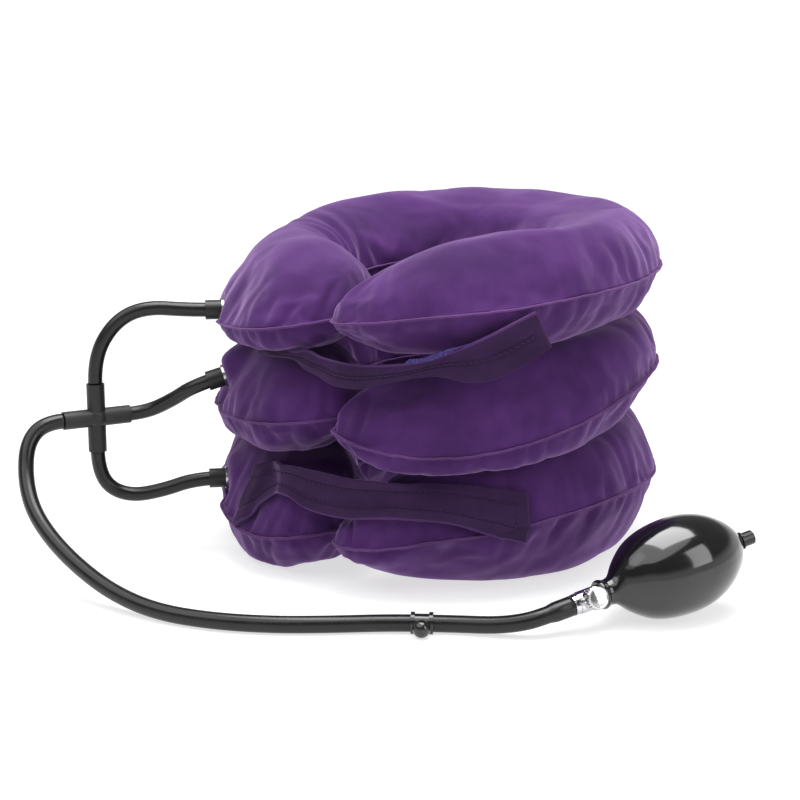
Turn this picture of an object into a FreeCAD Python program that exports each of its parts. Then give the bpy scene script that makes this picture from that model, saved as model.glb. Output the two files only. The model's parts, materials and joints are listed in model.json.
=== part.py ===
import FreeCAD, Part
import math
import os
import Sketcher

# Three-tier inflatable neck collar with a squeeze bulb. Millimetres, +Z up.
# The origin is on the surface it stands on, on the axis of the neck opening.
# The gap between the collar's arms faces -Y.

V = FreeCAD.Vector
Z_UP = V(0, 0, 1)
X_AHEAD = V(1, 0, 0)

DIMENSIONS = {
    # the rings that the inflated tiers form
    "ring_radius": 85,
    "tube_half_width": 38,
    "arm_clearance": 0.6,
    "stack_lean": 4.4,
    "lean_azimuth": 67,
    "cover_thickness": 1.2,
    "bladder_clearance": 0.3,
    "bladder_thickness": 0.9,
    "welt_width": 2.4,
    "welt_half_thickness": 0.9,
    # seam heights along the leaning axis, and each tier's crown and underside from its seam
    "bottom_seam": 37,
    "bottom_rise": 34,
    "bottom_drop": 46,
    "middle_seam": 93.6,
    "middle_rise": 34,
    "middle_drop": 22,
    "top_seam": 150.2,
    "top_rise": 32,
    "top_drop": 22,
    # air ports
    "bottom_port_radius": 123,
    "bottom_port_azimuth": -144,
    "bottom_port_height": 38,
    "bottom_port_pitch": 0,
    "middle_port_radius": 123.6,
    "middle_port_azimuth": -141,
    "middle_port_height": 98,
    "middle_port_pitch": 16,
    "top_port_radius": 123,
    "top_port_azimuth": -146,
    "top_port_height": 133,
    "top_port_pitch": 0,
    "eyelet_barrel": 5,
    "eyelet_lip": 6.4,
    "eyelet_bore": 3.1,
    "eyelet_depth": 7,
    "eyelet_clearance": 0.05,
    "bladder_hole_clearance": 0.4,
    "lip_thickness": 1.2,
    "nipple_root": 3,
    "nipple_bore": 1.2,
    "nipple_depth": 13,
    "spigot_length": 8,
    "ferrule_length": 9,
    "ferrule_radius": 5.4,
    # hoses
    "branch_radius": 4,
    "branch_bore": 2,
    "main_radius": 4.3,
    "main_bore": 2.15,
    "cross_radius": 5,
    "cross_bore": 2,
    "cross_arm": 19,
    "cross_hub": 6.2,
    "cross_azimuth": 55,
    "clip_radius": 5.6,
    "clip_length": 11,
    "clip_bead": 0.9,
    "ball_radius": 4.4,
    # straps
    "strap_thickness": 1.2,
    "upper_strap_radius": 117,
    "upper_strap_low": 113,
    "upper_strap_width": 28,
    "upper_strap_start": -112,
    "upper_strap_end": -38,
    "lower_strap_start": -122,
    "lower_strap_end": -40,
    "lower_strap_gap": 1.5,
    "lower_strap_from": 10,
    "lower_strap_to": 53,
    "tape_thickness": 0.8,
    "tape_span": 22,
    "tape_inset": 4,
    # pump: distances along the valve and bulb axis from the barb's tip
    "pump_azimuth": 54,
    "pump_rise": 11,
    "pump_roll": 24,
    "barb_end": 12,
    "collar_end": 15,
    "valve_end": 27,
    "spigot_end": 38,
    "collar_radius": 5.2,
    "valve_radius": 5.6,
    "spigot_radius": 4,
    "air_bore": 1,
    "chamber_start": 25,
    "chamber_radius": 2.2,
    "outlet_seat_start": 35,
    "outlet_seat_bore": 1.3,
    "check_ball": 1.9,
    "check_travel": 1.2,
    "pin_radius": 0.5,
    "screw_station": 20,
    "boss_radius": 4.4,
    "boss_height": 9,
    "screw_bore": 2,
    "screw_clearance": 0.05,
    "screw_seat": 2.2,
    "vent_radius": 0.6,
    "ring_groove": 1.35,
    "ring_low": 4.2,
    "ring_height": 1.4,
    "knob_low": 10.2,
    "knob_thickness": 4.6,
    "knob_radius": 5.8,
    "knob_notch": 0.5,
    "knob_notches": 24,
    "bulb_neck_start": 27.4,
    "bulb_neck": 7,
    "bulb_centre": 74,
    "bulb_radius": 25,
    "bulb_arc": 45,
    "bulb_cap_arc": 12.9,
    "bulb_half_length": 38,
    "bulb_wall": 2.2,
    "bulb_shoulder": 35,
    "inlet_radius": 3.7,
    "inlet_bore": 2.6,
    "inlet_lip": 4.6,
    "inlet_inside": 6,
    "inlet_outside": 8,
    "inlet_seat_bore": 1.3,
    "inlet_seat_depth": 1.5,
    "disc_radius": 2.4,
    "disc_thickness": 0.8,
    "disc_travel": 1,
    "cap_thickness": 1.4,
}

DRIVE = "Dimensions."

doc = FreeCAD.newDocument("NeckCollar")
sheet = doc.addObject("Spreadsheet::Sheet", "Dimensions")
for row, (alias, number) in enumerate(DIMENSIONS.items(), start=1):
    sheet.set(f"A{row}", alias.replace("_", " "))
    sheet.set(f"B{row}", str(number))
    sheet.setAlias(f"B{row}", alias)
doc.recompute()


def size(terms):
    """Value of a sum such as 'valve_end + barb_end - 0.5', whose words are aliases."""
    total, sign = 0.0, 1
    for term in terms.split():
        if term in "+-":
            sign = 1 if term == "+" else -1
        else:
            total += sign * (float(getattr(sheet, term)) if term in DIMENSIONS else float(term))
    return total


def driven(terms):
    """The same sum as an expression that reads the sheet."""
    return " ".join(DRIVE + term if term in DIMENSIONS else term for term in terms.split())


# ---------------------------------------------------------------- sketches

def hold(sketch, kind, ends, terms):
    """One driving dimension of a sketch, bound to the sheet; a zero one lies on an axis."""
    number = size(terms)
    if kind in ("DistanceX", "DistanceY") and abs(number) < 1e-9:
        axis = -2 if kind == "DistanceX" else -1
        sketch.addConstraint(Sketcher.Constraint("PointOnObject", *ends, axis))
        return
    if kind in ("DistanceX", "DistanceY"):
        ends = (-1, 1) + ends
    index = sketch.addConstraint(Sketcher.Constraint(kind, *ends, number))
    sketch.setExpression(f"Constraints[{index}]", driven(terms))


def outline(sketch, corners):
    """A closed outline of straight edges through corners given as pairs of sums."""
    points = [V(size(x), size(y), 0) for x, y in corners]
    last = len(points) - 1
    for n in range(len(points)):
        after = points[0 if n == last else n + 1]
        sketch.addGeometry(Part.LineSegment(points[n], after))
    for n, (x, y) in enumerate(corners):
        sketch.addConstraint(Sketcher.Constraint("Coincident", n, 1, n - 1 if n else last, 2))
        hold(sketch, "DistanceX", (n, 1), x)
        hold(sketch, "DistanceY", (n, 1), y)


def turned(label, corners, placement):
    """A body of revolution: corners are (along, radius) sums, turned about the X axis."""
    body = doc.addObject("PartDesign::Body", label)
    body.Label = label
    plane = [o for o in body.Origin.OriginFeatures if o.Role == "XY_Plane"][0]
    sketch = body.newObject("Sketcher::SketchObject", label + "_profile")
    sketch.AttachmentSupport = [(plane, "")]
    sketch.MapMode = "FlatFace"
    outline(sketch, corners)
    turn = body.newObject("PartDesign::Revolution", label + "_turn")
    turn.Profile = sketch
    turn.ReferenceAxis = (sketch, ["H_Axis"])
    turn.Angle = 360
    body.Placement = placement
    return body


def solid(kind, name, placement, **sizes):
    """A Part primitive whose sizes are sums of the sheet's cells."""
    shape = doc.addObject(kind, name)
    for key, terms in sizes.items():
        shape.setExpression(key, driven(terms))
    shape.Placement = placement
    return shape


def cut(name, base, tool):
    result = doc.addObject("Part::Cut", name)
    result.Base, result.Tool = base, tool
    return result


def common(name, base, tool):
    result = doc.addObject("Part::Common", name)
    result.Base, result.Tool = base, tool
    return result


def fuse(name, pieces):
    result = doc.addObject("Part::MultiFuse", name)
    result.Shapes = pieces
    return result


# ---------------------------------------------------------------- frames

LEAN_AZIMUTH = math.radians(size("lean_azimuth"))
LEAN_AXIS = V(math.sin(LEAN_AZIMUTH), -math.cos(LEAN_AZIMUTH), 0)
LEAN_TURN = FreeCAD.Rotation(LEAN_AXIS, size("stack_lean"))
LEAN_UP = LEAN_TURN.multVec(Z_UP)
# the arms' round ends nearly meet: this is half the angle that they leave open
HALF_GAP = size("tube_half_width + welt_width + arm_clearance")
GAP_HALF = math.degrees(math.asin(HALF_GAP / size("ring_radius")))
ARM_START = -90 + GAP_HALF
ARM_END = 270 - GAP_HALF


def leaning(seam):
    """The frame of a tier: its Z axis leans, and crosses the neck's axis at the seam's height."""
    height = size(seam)
    return FreeCAD.Placement((Z_UP - LEAN_UP) * height, LEAN_TURN)


def upright(seam, azimuth):
    """A sketch plane that stands on a radius of a leaning tier: x outward, y up."""
    spin = FreeCAD.Placement(V(0, 0, 0), FreeCAD.Rotation(Z_UP, azimuth))
    stand = FreeCAD.Placement(V(0, 0, 0), FreeCAD.Rotation(X_AHEAD, 90))
    return leaning(seam).multiply(spin).multiply(stand)


def pointing(origin, direction, roll=0):
    """A placement whose X axis points along direction."""
    aim = FreeCAD.Rotation(X_AHEAD, direction)
    return FreeCAD.Placement(origin, aim.multiply(FreeCAD.Rotation(X_AHEAD, roll)))


def shifted(placement, along, across=0, up=0):
    return placement.multiply(FreeCAD.Placement(V(along, across, up), FreeCAD.Rotation()))


# ---------------------------------------------------------------- the tiers' rings

def lens_radius(width, height):
    """Radius of the arc from a seam to the crown, both given as sums."""
    w, h = size(width), size(height)
    return (w * w + h * h) / (2 * h)


def hold_radius(sketch, arc, width, height):
    index = sketch.addConstraint(Sketcher.Constraint("Radius", arc, lens_radius(width, height)))
    w, h = driven(width), driven(height)
    sketch.setExpression(f"Constraints[{index}]", f"(({w})^2 + ({h})^2) / (2 * ({h}))")


def lens_sketch(name, seam, width, rise, drop, whole):
    """Section of an inflated tier: an arc above the seam and a flatter one below it."""
    sketch = doc.addObject("Sketcher::SketchObject", name)
    ring = size("ring_radius")
    level, w, up, down = size(seam), size(width), size(rise), size(drop)
    above, below = lens_radius(width, rise), lens_radius(width, drop)
    high, low = V(ring, level + up - above, 0), V(ring, level - down + below, 0)
    outer, inner = V(ring + w, level, 0), V(ring - w, level, 0)
    crown, base = V(ring, level + up, 0), V(ring, level - down, 0)
    on_high = high + V(0.7071 * above, 0.7071 * above, 0)
    on_low = low + V(0.7071 * below, -0.7071 * below, 0)
    if whole:
        sketch.addGeometry(Part.Arc(outer, crown, inner))
        sketch.addGeometry(Part.Arc(inner, base, outer))
        sketch.addConstraint(Sketcher.Constraint("Coincident", 0, 2, 1, 1))
        sketch.addConstraint(Sketcher.Constraint("Coincident", 1, 2, 0, 1))
        hold(sketch, "DistanceX", (0, 2), "ring_radius - " + width.replace(" - ", " + "))
        hold(sketch, "DistanceY", (0, 2), seam)
    else:
        sketch.addGeometry(Part.Arc(outer, on_high, crown))
        sketch.addGeometry(Part.Arc(base, on_low, outer))
        sketch.addGeometry(Part.LineSegment(crown, base))
        sketch.addConstraint(Sketcher.Constraint("Coincident", 0, 2, 2, 1))
        sketch.addConstraint(Sketcher.Constraint("Coincident", 2, 2, 1, 1))
        sketch.addConstraint(Sketcher.Constraint("Coincident", 1, 2, 0, 1))
        hold(sketch, "DistanceX", (2, 1), "ring_radius")
        hold(sketch, "DistanceY", (2, 1), seam + " + " + rise)
        hold(sketch, "DistanceX", (2, 2), "ring_radius")
        hold(sketch, "DistanceY", (2, 2), seam + " - " + drop.replace(" - ", " + "))
    hold(sketch, "DistanceX", (0, 1), "ring_radius + " + width)
    hold(sketch, "DistanceY", (0, 1), seam)
    hold_radius(sketch, 0, width, rise)
    hold_radius(sketch, 1, width, drop)
    return sketch


def plate_sketch(name, seam, width, rise, drop, whole):
    """Flat rectangular section of the seam's welt, before the ring inside it is cut away."""
    sketch = doc.addObject("Sketcher::SketchObject", name)
    near = "ring_radius - " + width.replace(" + ", " - ") if whole else "ring_radius"
    far = "ring_radius + " + width
    low, high = seam + " - " + drop, seam + " + " + rise
    outline(sketch, [(near, low), (far, low), (far, high), (near, high)])
    return sketch


def revolve(name, sketch, base, axis, angle):
    turn = doc.addObject("Part::Revolution", name)
    turn.Source = sketch
    turn.Base = base
    turn.Axis = axis
    turn.Angle = angle
    turn.Solid = True
    return turn


def arm_ring(name, section, seam, width, rise, drop):
    """A section carried round the neck from arm to arm, with a round end on each arm."""
    whole = section(name + "_section", seam, width, rise, drop, True)
    whole.Placement = upright(seam, ARM_START)
    pieces = [revolve(name + "_round", whole, leaning(seam).Base, LEAN_UP, ARM_END - ARM_START)]
    for tip, azimuth, axis in (("first", ARM_START, LEAN_UP * -1), ("last", ARM_END, LEAN_UP)):
        half = section(f"{name}_{tip}_half", seam, width, rise, drop, False)
        half.Placement = upright(seam, azimuth)
        centre = upright(seam, azimuth).multVec(V(size("ring_radius"), 0, 0))
        pieces.append(revolve(f"{name}_{tip}_end", half, centre, axis, 180))
    return fuse(name, pieces)


def wide_box(name, low):
    """Everything above a height: on the leaning axis if it is a seam, else level."""
    reach = 400
    corner = FreeCAD.Placement(V(-reach / 2, -reach / 2, size(low)), FreeCAD.Rotation())
    box = solid("Part::Box", name, corner, Length=str(reach), Width=str(reach), Height=str(reach))
    if low.endswith("seam"):
        box.Placement = leaning(low).multiply(corner)
    return box


def port_frame(tier):
    """X outward along the tier's air port, from the face that the eyelet's lip lies on."""
    azimuth = math.radians(size(f"{tier}_port_azimuth"))
    pitch = math.radians(size(f"{tier}_port_pitch"))
    flat = V(math.cos(azimuth), math.sin(azimuth), 0)
    origin = flat * size(f"{tier}_port_radius") + Z_UP * size(f"{tier}_port_height")
    return pointing(origin, flat * math.cos(pitch) - Z_UP * math.sin(pitch))


def port_drill(name, tier, length, clearance):
    """The hole that a tier's eyelet and nipple fill, from inside the tier outward."""
    frame = shifted(port_frame(tier), -size(length))
    frame = frame.multiply(FreeCAD.Placement(V(0, 0, 0), FreeCAD.Rotation(V(0, 1, 0), 90)))
    return solid("Part::Cylinder", name, frame, Radius="eyelet_barrel + " + clearance,
                 Height=length + " + 4")


def inset(terms, amount):
    return terms if not amount else terms + " - " + amount.replace(" + ", " - ")


def tier_shell(tier, level):
    """One tier: upper and lower covers, the welt on their seam and the bladder inside them."""
    seam, rise, drop = f"{tier}_seam", f"{tier}_rise", f"{tier}_drop"
    depths = {
        "skin": "",
        "lining": "cover_thickness",
        "outside": "cover_thickness + bladder_clearance",
        "inside": "cover_thickness + bladder_clearance + bladder_thickness",
    }
    solids = {}
    for layer, depth in depths.items():
        name = f"{tier}_{layer}"
        ring = arm_ring(name, lens_sketch, seam, inset("tube_half_width", depth),
                        inset(rise, depth), inset(drop, depth))
        if level is not None:
            floor = wide_box(name + "_floor", level + " + " + depth if depth else level)
            ring = common(name + "_flat", ring, floor)
        solids[layer] = ring
    shell = cut(f"{tier}_cover", solids["skin"], solids["lining"])
    eyelet_hole = port_drill(f"{tier}_cover_hole", tier, "13", "eyelet_clearance")
    bored = cut(f"{tier}_cover_bored", shell, eyelet_hole)
    above = wide_box(f"{tier}_above", seam)
    upper = common(f"{tier}_upper_cover", bored, above)
    lower = cut(f"{tier}_lower_cover", bored, above)
    plate = arm_ring(f"{tier}_plate", plate_sketch, seam, "tube_half_width + welt_width",
                     "welt_half_thickness", "welt_half_thickness")
    welt = cut(f"{tier}_seam_welt", plate, solids["skin"])
    air = cut(f"{tier}_air", solids["outside"], solids["inside"])
    hole = port_drill(f"{tier}_bladder_hole", tier, "20", "bladder_hole_clearance")
    bladder = cut(f"{tier}_bladder", air, hole)
    return [upper, lower, welt, bladder]


def port_pieces(tier):
    """Eyelet, bladder nipple and hose ferrule of one tier."""
    frame = port_frame(tier)
    back = shifted(frame, -size("nipple_depth"))
    eyelet = turned(f"{tier}_eyelet", [
        ("nipple_depth - eyelet_depth", "eyelet_bore"),
        ("nipple_depth + lip_thickness", "eyelet_bore"),
        ("nipple_depth + lip_thickness", "eyelet_lip"),
        ("nipple_depth", "eyelet_lip"),
        ("nipple_depth", "eyelet_barrel"),
        ("nipple_depth - eyelet_depth", "eyelet_barrel"),
    ], back)
    nipple = turned(f"{tier}_nipple", [
        ("0", "nipple_bore"),
        ("nipple_depth + lip_thickness + spigot_length", "nipple_bore"),
        ("nipple_depth + lip_thickness + spigot_length", "branch_bore"),
        ("nipple_depth + lip_thickness", "branch_bore"),
        ("nipple_depth + lip_thickness", "nipple_root"),
        ("nipple_depth - eyelet_depth", "nipple_root"),
        ("nipple_depth - eyelet_depth", "eyelet_barrel"),
        ("0", "eyelet_barrel"),
    ], back)
    ferrule = turned(f"{tier}_ferrule", [
        ("lip_thickness", "branch_radius"),
        ("lip_thickness + ferrule_length", "branch_radius"),
        ("lip_thickness + ferrule_length", "ferrule_radius"),
        ("lip_thickness", "ferrule_radius"),
    ], frame)
    return [eyelet, nipple, ferrule]


# ---------------------------------------------------------------- hoses

def tube_path(points):
    """Straight runs joined by arcs as large as the shorter run of each pair allows."""
    edges, start, radii = [], points[0], []
    for before, corner, after in zip(points, points[1:], points[2:]):
        into, out = (corner - before), (after - corner)
        turn = into.getAngle(out)
        short = 0.45 * min(into.Length, out.Length)
        first = corner - into.normalize() * short
        last = corner + out.normalize() * short
        bend = (last - corner).normalize() + (first - corner).normalize()
        radius = short / math.tan(turn / 2)
        centre_gap = radius / math.cos(turn / 2) - radius
        middle = corner + bend.normalize() * centre_gap
        edges.append(Part.LineSegment(start, first).toShape())
        edges.append(Part.Arc(first, middle, last).toShape())
        radii.append(round(radius, 1))
        start = last
    edges.append(Part.LineSegment(start, points[-1]).toShape())
    return Part.Wire(edges), radii


def swept(path, start, direction, radius):
    ring = Part.Wire([Part.makeCircle(radius, start, direction)])
    return path.makePipeShell([ring], True, False)


def hose(label, points, outer, bore):
    path, radii = tube_path(points)
    direction = points[1] - points[0]
    shape = swept(path, points[0], direction, size(outer)).cut(
        swept(path, points[0], direction, size(bore)))
    shape = shape.Solids[0]
    expected = math.pi * (size(outer) ** 2 - size(bore) ** 2) * path.Length
    if abs(shape.Volume / expected - 1) > 0.01:
        raise ValueError(f"{label} holds {shape.Volume:.0f} mm3, not {expected:.0f} mm3")
    piece = doc.addObject("Part::Feature", label)
    piece.Shape = shape
    piece.Label = label
    piece.Placement = FreeCAD.Placement()
    print(f"{label}: length {path.Length:.0f} mm, bend radii {radii}")
    return piece


CROSS_CENTRE = V(-157.5, -114, 75)
CLIP_CENTRE = V(64, -150.5, size("main_radius") + 0.1)
CLIP_ALONG = V(28, 13, 0).normalize()


def port_exit(tier, along):
    return port_frame(tier).multVec(V(size("lip_thickness") + along, 0, 0))


def branch_hoses():
    """Three hoses from the cross to the tiers' ports."""
    arm = size("cross_arm")
    side = math.radians(size("cross_azimuth"))
    across = V(math.cos(side), math.sin(side), 0)
    top, bottom = CROSS_CENTRE + Z_UP * arm, CROSS_CENTRE - Z_UP * arm
    right = CROSS_CENTRE + across * arm
    upper = [port_exit("top", 0), port_exit("top", 17), V(-136, -96, 136), V(-149, -106.5, 128),
             top + Z_UP * 15, top]
    middle = [port_exit("middle", 0), port_exit("middle", 16.5), V(-125, -88, 83),
              right + across * 10, right]
    lower = [port_exit("bottom", 0), port_exit("bottom", 16.5), V(-129, -94, 32), V(-143, -104, 29.5),
             V(-153.5, -111, 35), bottom - Z_UP * 9, bottom]
    routes = {"upper_hose": upper, "middle_hose": middle, "lower_hose": lower}
    return [hose(label, points, "branch_radius", "branch_bore") for label, points in routes.items()]


def main_hose():
    """The long hose from the cross, down to the surface and along it to the valve."""
    side = math.radians(size("cross_azimuth"))
    across = V(math.cos(side), math.sin(side), 0)
    left = CROSS_CENTRE - across * size("cross_arm")
    lies = size("main_radius") + 0.1
    pump = pump_frame()
    end = pump.multVec(V(size("barb_end"), 0, 0))
    points = [
        left,
        left - across * 11,
        V(-178, -149, 66),
        V(-173, -158, 50),
        V(-161, -168, 36),
        V(-141, -178, 25),
        V(-116, -187, 15.5),
        V(-89, -194, 8),
        V(-60, -198, lies),
        V(-28, -196, lies),
        V(1, -186.5, lies),
        V(26, -172.5, lies),
        CLIP_CENTRE - CLIP_ALONG * 15,
        CLIP_CENTRE + CLIP_ALONG * 15,
        V(98, -138.5, lies + 0.8),
        V(111.5, -134.5, lies + 3.4),
        pump.multVec(V(-3, 0, 0)),
        end,
    ]
    return hose("main_hose", points, "main_radius", "main_bore")


def cross_connector():
    """Four arms round a rounded hub, with an air way through all of them."""
    bars, bores = [], []
    side = size("cross_azimuth")
    level = FreeCAD.Rotation(Z_UP, side).multiply(FreeCAD.Rotation(V(0, 1, 0), 90))
    for name, turn in (("upright", FreeCAD.Rotation()), ("level", level)):
        start = CROSS_CENTRE - turn.multVec(Z_UP) * size("cross_arm")
        place = FreeCAD.Placement(start, turn)
        length = "cross_arm + cross_arm"
        for pieces, label, radius in ((bars, f"cross_{name}", "cross_radius"),
                                      (bores, f"cross_{name}_bore", "cross_bore")):
            pieces.append(solid("Part::Cylinder", label, place, Radius=radius, Height=length))
    centre = FreeCAD.Placement(CROSS_CENTRE, FreeCAD.Rotation())
    bars.append(solid("Part::Sphere", "cross_hub", centre, Radius="cross_hub"))
    return cut("cross_connector", fuse("cross_body", bars), fuse("cross_ways", bores))


def ball_clip():
    """The sleeve that grips the main hose, with a beaded rim at each end, and its ball."""
    half = size("clip_length") / 2
    frame = pointing(CLIP_CENTRE - CLIP_ALONG * half, CLIP_ALONG)
    sleeve = turned("hose_clip", [
        ("0", "main_radius"),
        ("clip_length", "main_radius"),
        ("clip_length", "clip_radius"),
        ("clip_length - 2", "clip_radius"),
        ("clip_length - 2", "clip_radius - clip_bead"),
        ("2", "clip_radius - clip_bead"),
        ("2", "clip_radius"),
        ("0", "clip_radius"),
    ], frame)
    trimmed = cut("clip_sleeve", sleeve, under_floor())
    outward = V(CLIP_ALONG.y, -CLIP_ALONG.x, 0)
    middle = CLIP_CENTRE + outward * (size("clip_radius - clip_bead + ball_radius") - 0.8)
    ball = solid("Part::Sphere", "clip_ball_blank", FreeCAD.Placement(middle, FreeCAD.Rotation()),
                 Radius="ball_radius")
    bored = solid("Part::Cylinder", "clip_ball_seat",
                  FreeCAD.Placement(CLIP_CENTRE - CLIP_ALONG * 20, FreeCAD.Rotation(Z_UP, CLIP_ALONG)),
                  Radius="clip_radius", Height="40")
    return [trimmed, cut("clip_ball", ball, bored)]


def under_floor():
    """The space below the surface that the part stands on."""
    corner = FreeCAD.Placement(V(0, -300, -50), FreeCAD.Rotation())
    return solid("Part::Box", "below_floor", corner, Length="200", Width="300", Height="50")


# ---------------------------------------------------------------- straps

def band(label, sketch, seam, start, end):
    """A strip of a section, swept round a tier's leaning axis."""
    sketch.Placement = upright(seam, start)
    return revolve(label, sketch, leaning(seam).Base, LEAN_UP, end - start)


def upper_strap_pieces():
    """The strap that stands in the groove under the top tier, and its hook tape inside."""
    start, end = size("upper_strap_start"), size("upper_strap_end")
    low, high = "upper_strap_low", "upper_strap_low + upper_strap_width"
    cloth = doc.addObject("Sketcher::SketchObject", "upper_strap_section")
    inner, outer = "upper_strap_radius", "upper_strap_radius + strap_thickness"
    outline(cloth, [(inner, low), (outer, low), (outer, high), (inner, high)])
    tape = doc.addObject("Sketcher::SketchObject", "upper_tape_section")
    inner, outer = "upper_strap_radius - tape_thickness", "upper_strap_radius"
    low, high = low + " + tape_inset", high + " - tape_inset"
    outline(tape, [(inner, low), (outer, low), (outer, high), (inner, high)])
    lean = "upper_strap_low"
    return [band("upper_strap", cloth, lean, start, end),
            band("upper_hook_tape", tape, lean, end - size("tape_span") - 2, end - 2)]


def cover_arc(gap, angle):
    """A point at a distance outside the bottom tier's upper cover, as radius and height."""
    radius = lens_radius("tube_half_width", "bottom_rise")
    turn = math.radians(angle)
    out = size("ring_radius") + (radius + gap) * math.cos(turn)
    up = size("bottom_seam + bottom_rise") - radius + (radius + gap) * math.sin(turn)
    return V(out, up, 0)


def strip_on_cover(label, gap, thickness, low, high, start, end):
    """A strip of cloth that follows the bottom tier's upper cover."""
    corners = [cover_arc(gap, low), cover_arc(gap + thickness, low),
               cover_arc(gap + thickness, high), cover_arc(gap, high)]
    middle = (low + high) / 2
    edges = [
        Part.LineSegment(corners[0], corners[1]),
        Part.Arc(corners[1], cover_arc(gap + thickness, middle), corners[2]),
        Part.LineSegment(corners[2], corners[3]),
        Part.Arc(corners[3], cover_arc(gap, middle), corners[0]),
    ]
    sketch = doc.addObject("Sketcher::SketchObject", label + "_section")
    for edge in edges:
        sketch.addGeometry(edge)
    return band(label, sketch, "bottom_seam", start, end)


def lower_strap_pieces():
    """The strap that lies on the bottom tier, and its hook tape inside."""
    start, end = size("lower_strap_start"), size("lower_strap_end")
    low, high = size("lower_strap_from"), size("lower_strap_to")
    gap, thick, tape = size("lower_strap_gap"), size("strap_thickness"), size("tape_thickness")
    margin = 6
    return [strip_on_cover("lower_strap", gap, thick, low, high, start, end),
            strip_on_cover("lower_hook_tape", gap - tape, tape, low + margin, high - margin,
                           end - size("tape_span") - 2, end - 2)]


# ---------------------------------------------------------------- pump

BULB_CENTRE = V(164.5, -67.5, 25.4)


def pump_frame():
    """X along the valve and the bulb from the barb's tip; Z along the release screw."""
    azimuth, rise = math.radians(size("pump_azimuth")), math.radians(size("pump_rise"))
    ahead = V(math.cos(azimuth) * math.cos(rise), math.sin(azimuth) * math.cos(rise), math.sin(rise))
    level = V(math.sin(azimuth), -math.cos(azimuth), 0)
    over = level.cross(ahead)
    roll = math.radians(size("pump_roll"))
    screw = level * math.cos(roll) + over * math.sin(roll)
    side = screw.cross(ahead)
    origin = BULB_CENTRE - ahead * size("bulb_centre")
    turn = FreeCAD.Rotation(ahead, side, screw, "XYZ")
    return FreeCAD.Placement(origin, turn)


def screw_frame():
    """X outward along the release screw, from the valve's axis."""
    pump = pump_frame()
    origin = pump.multVec(V(size("screw_station"), 0, 0))
    return FreeCAD.Placement(origin, pump.Rotation.multiply(FreeCAD.Rotation(V(0, 1, 0), -90)))


def valve_pieces():
    """Valve body, the outlet seat and check ball in its spigot, and the ball's stop pin."""
    pump, screw = pump_frame(), screw_frame()
    core = turned("valve_core", [
        ("0", "air_bore"),
        ("chamber_start", "air_bore"),
        ("chamber_start", "chamber_radius"),
        ("spigot_end", "chamber_radius"),
        ("spigot_end", "spigot_radius"),
        ("valve_end", "spigot_radius"),
        ("valve_end", "valve_radius"),
        ("collar_end", "valve_radius"),
        ("collar_end", "collar_radius"),
        ("barb_end", "collar_radius"),
        ("barb_end", "main_bore"),
        ("0", "main_bore"),
    ], pump)
    boss = turned("valve_boss", [
        ("0", "0"), ("boss_height", "0"), ("boss_height", "boss_radius"), ("0", "boss_radius"),
    ], screw)
    upright_turn = FreeCAD.Placement(V(0, 0, 0), FreeCAD.Rotation(V(0, 1, 0), 90))
    way = solid("Part::Cylinder", "air_way", shifted(pump, 13).multiply(upright_turn),
                Radius="air_bore", Height="12")
    port = solid("Part::Cylinder", "release_port", screw.multiply(upright_turn),
                 Radius="air_bore", Height="boss_height")
    stem_hole = shifted(screw, size("screw_seat")).multiply(upright_turn)
    bore = solid("Part::Cylinder", "screw_hole", stem_hole, Radius="screw_bore", Height="boss_height")
    vent = solid("Part::Cylinder", "vent_hole",
                 shifted(screw, size("screw_seat") + 1.1).multiply(
                     FreeCAD.Placement(V(0, 0, 0), FreeCAD.Rotation(X_AHEAD, -90))),
                 Radius="vent_radius", Height="boss_radius + 4")
    pin_at = size("outlet_seat_start") - 4.3 - size("check_travel + pin_radius")
    half_pin = "spigot_radius - pin_radius + 0.3"
    pin_place = shifted(pump, pin_at, 0, -size(half_pin))
    pin_hole, pin = [
        solid("Part::Cylinder", label, pin_place, Radius="pin_radius", Height=f"{half_pin} + {half_pin}")
        for label in ("stop_pin_hole", "ball_stop_pin")
    ]
    blank = fuse("valve_blank", [core, boss])
    body = cut("valve_body", blank, fuse("valve_ways", [way, port, bore, vent, pin_hole]))
    seat = turned("outlet_seat", [
        ("outlet_seat_start", "outlet_seat_bore"),
        ("spigot_end", "outlet_seat_bore"),
        ("spigot_end", "chamber_radius"),
        ("outlet_seat_start", "chamber_radius"),
    ], pump)
    reach = math.sqrt(size("check_ball") ** 2 - size("outlet_seat_bore") ** 2)
    ball_at = size("outlet_seat_start") - reach - 0.03
    ball = solid("Part::Sphere", "outlet_check_ball", shifted(pump, ball_at), Radius="check_ball")
    return [body, pin, seat, ball]


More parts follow.
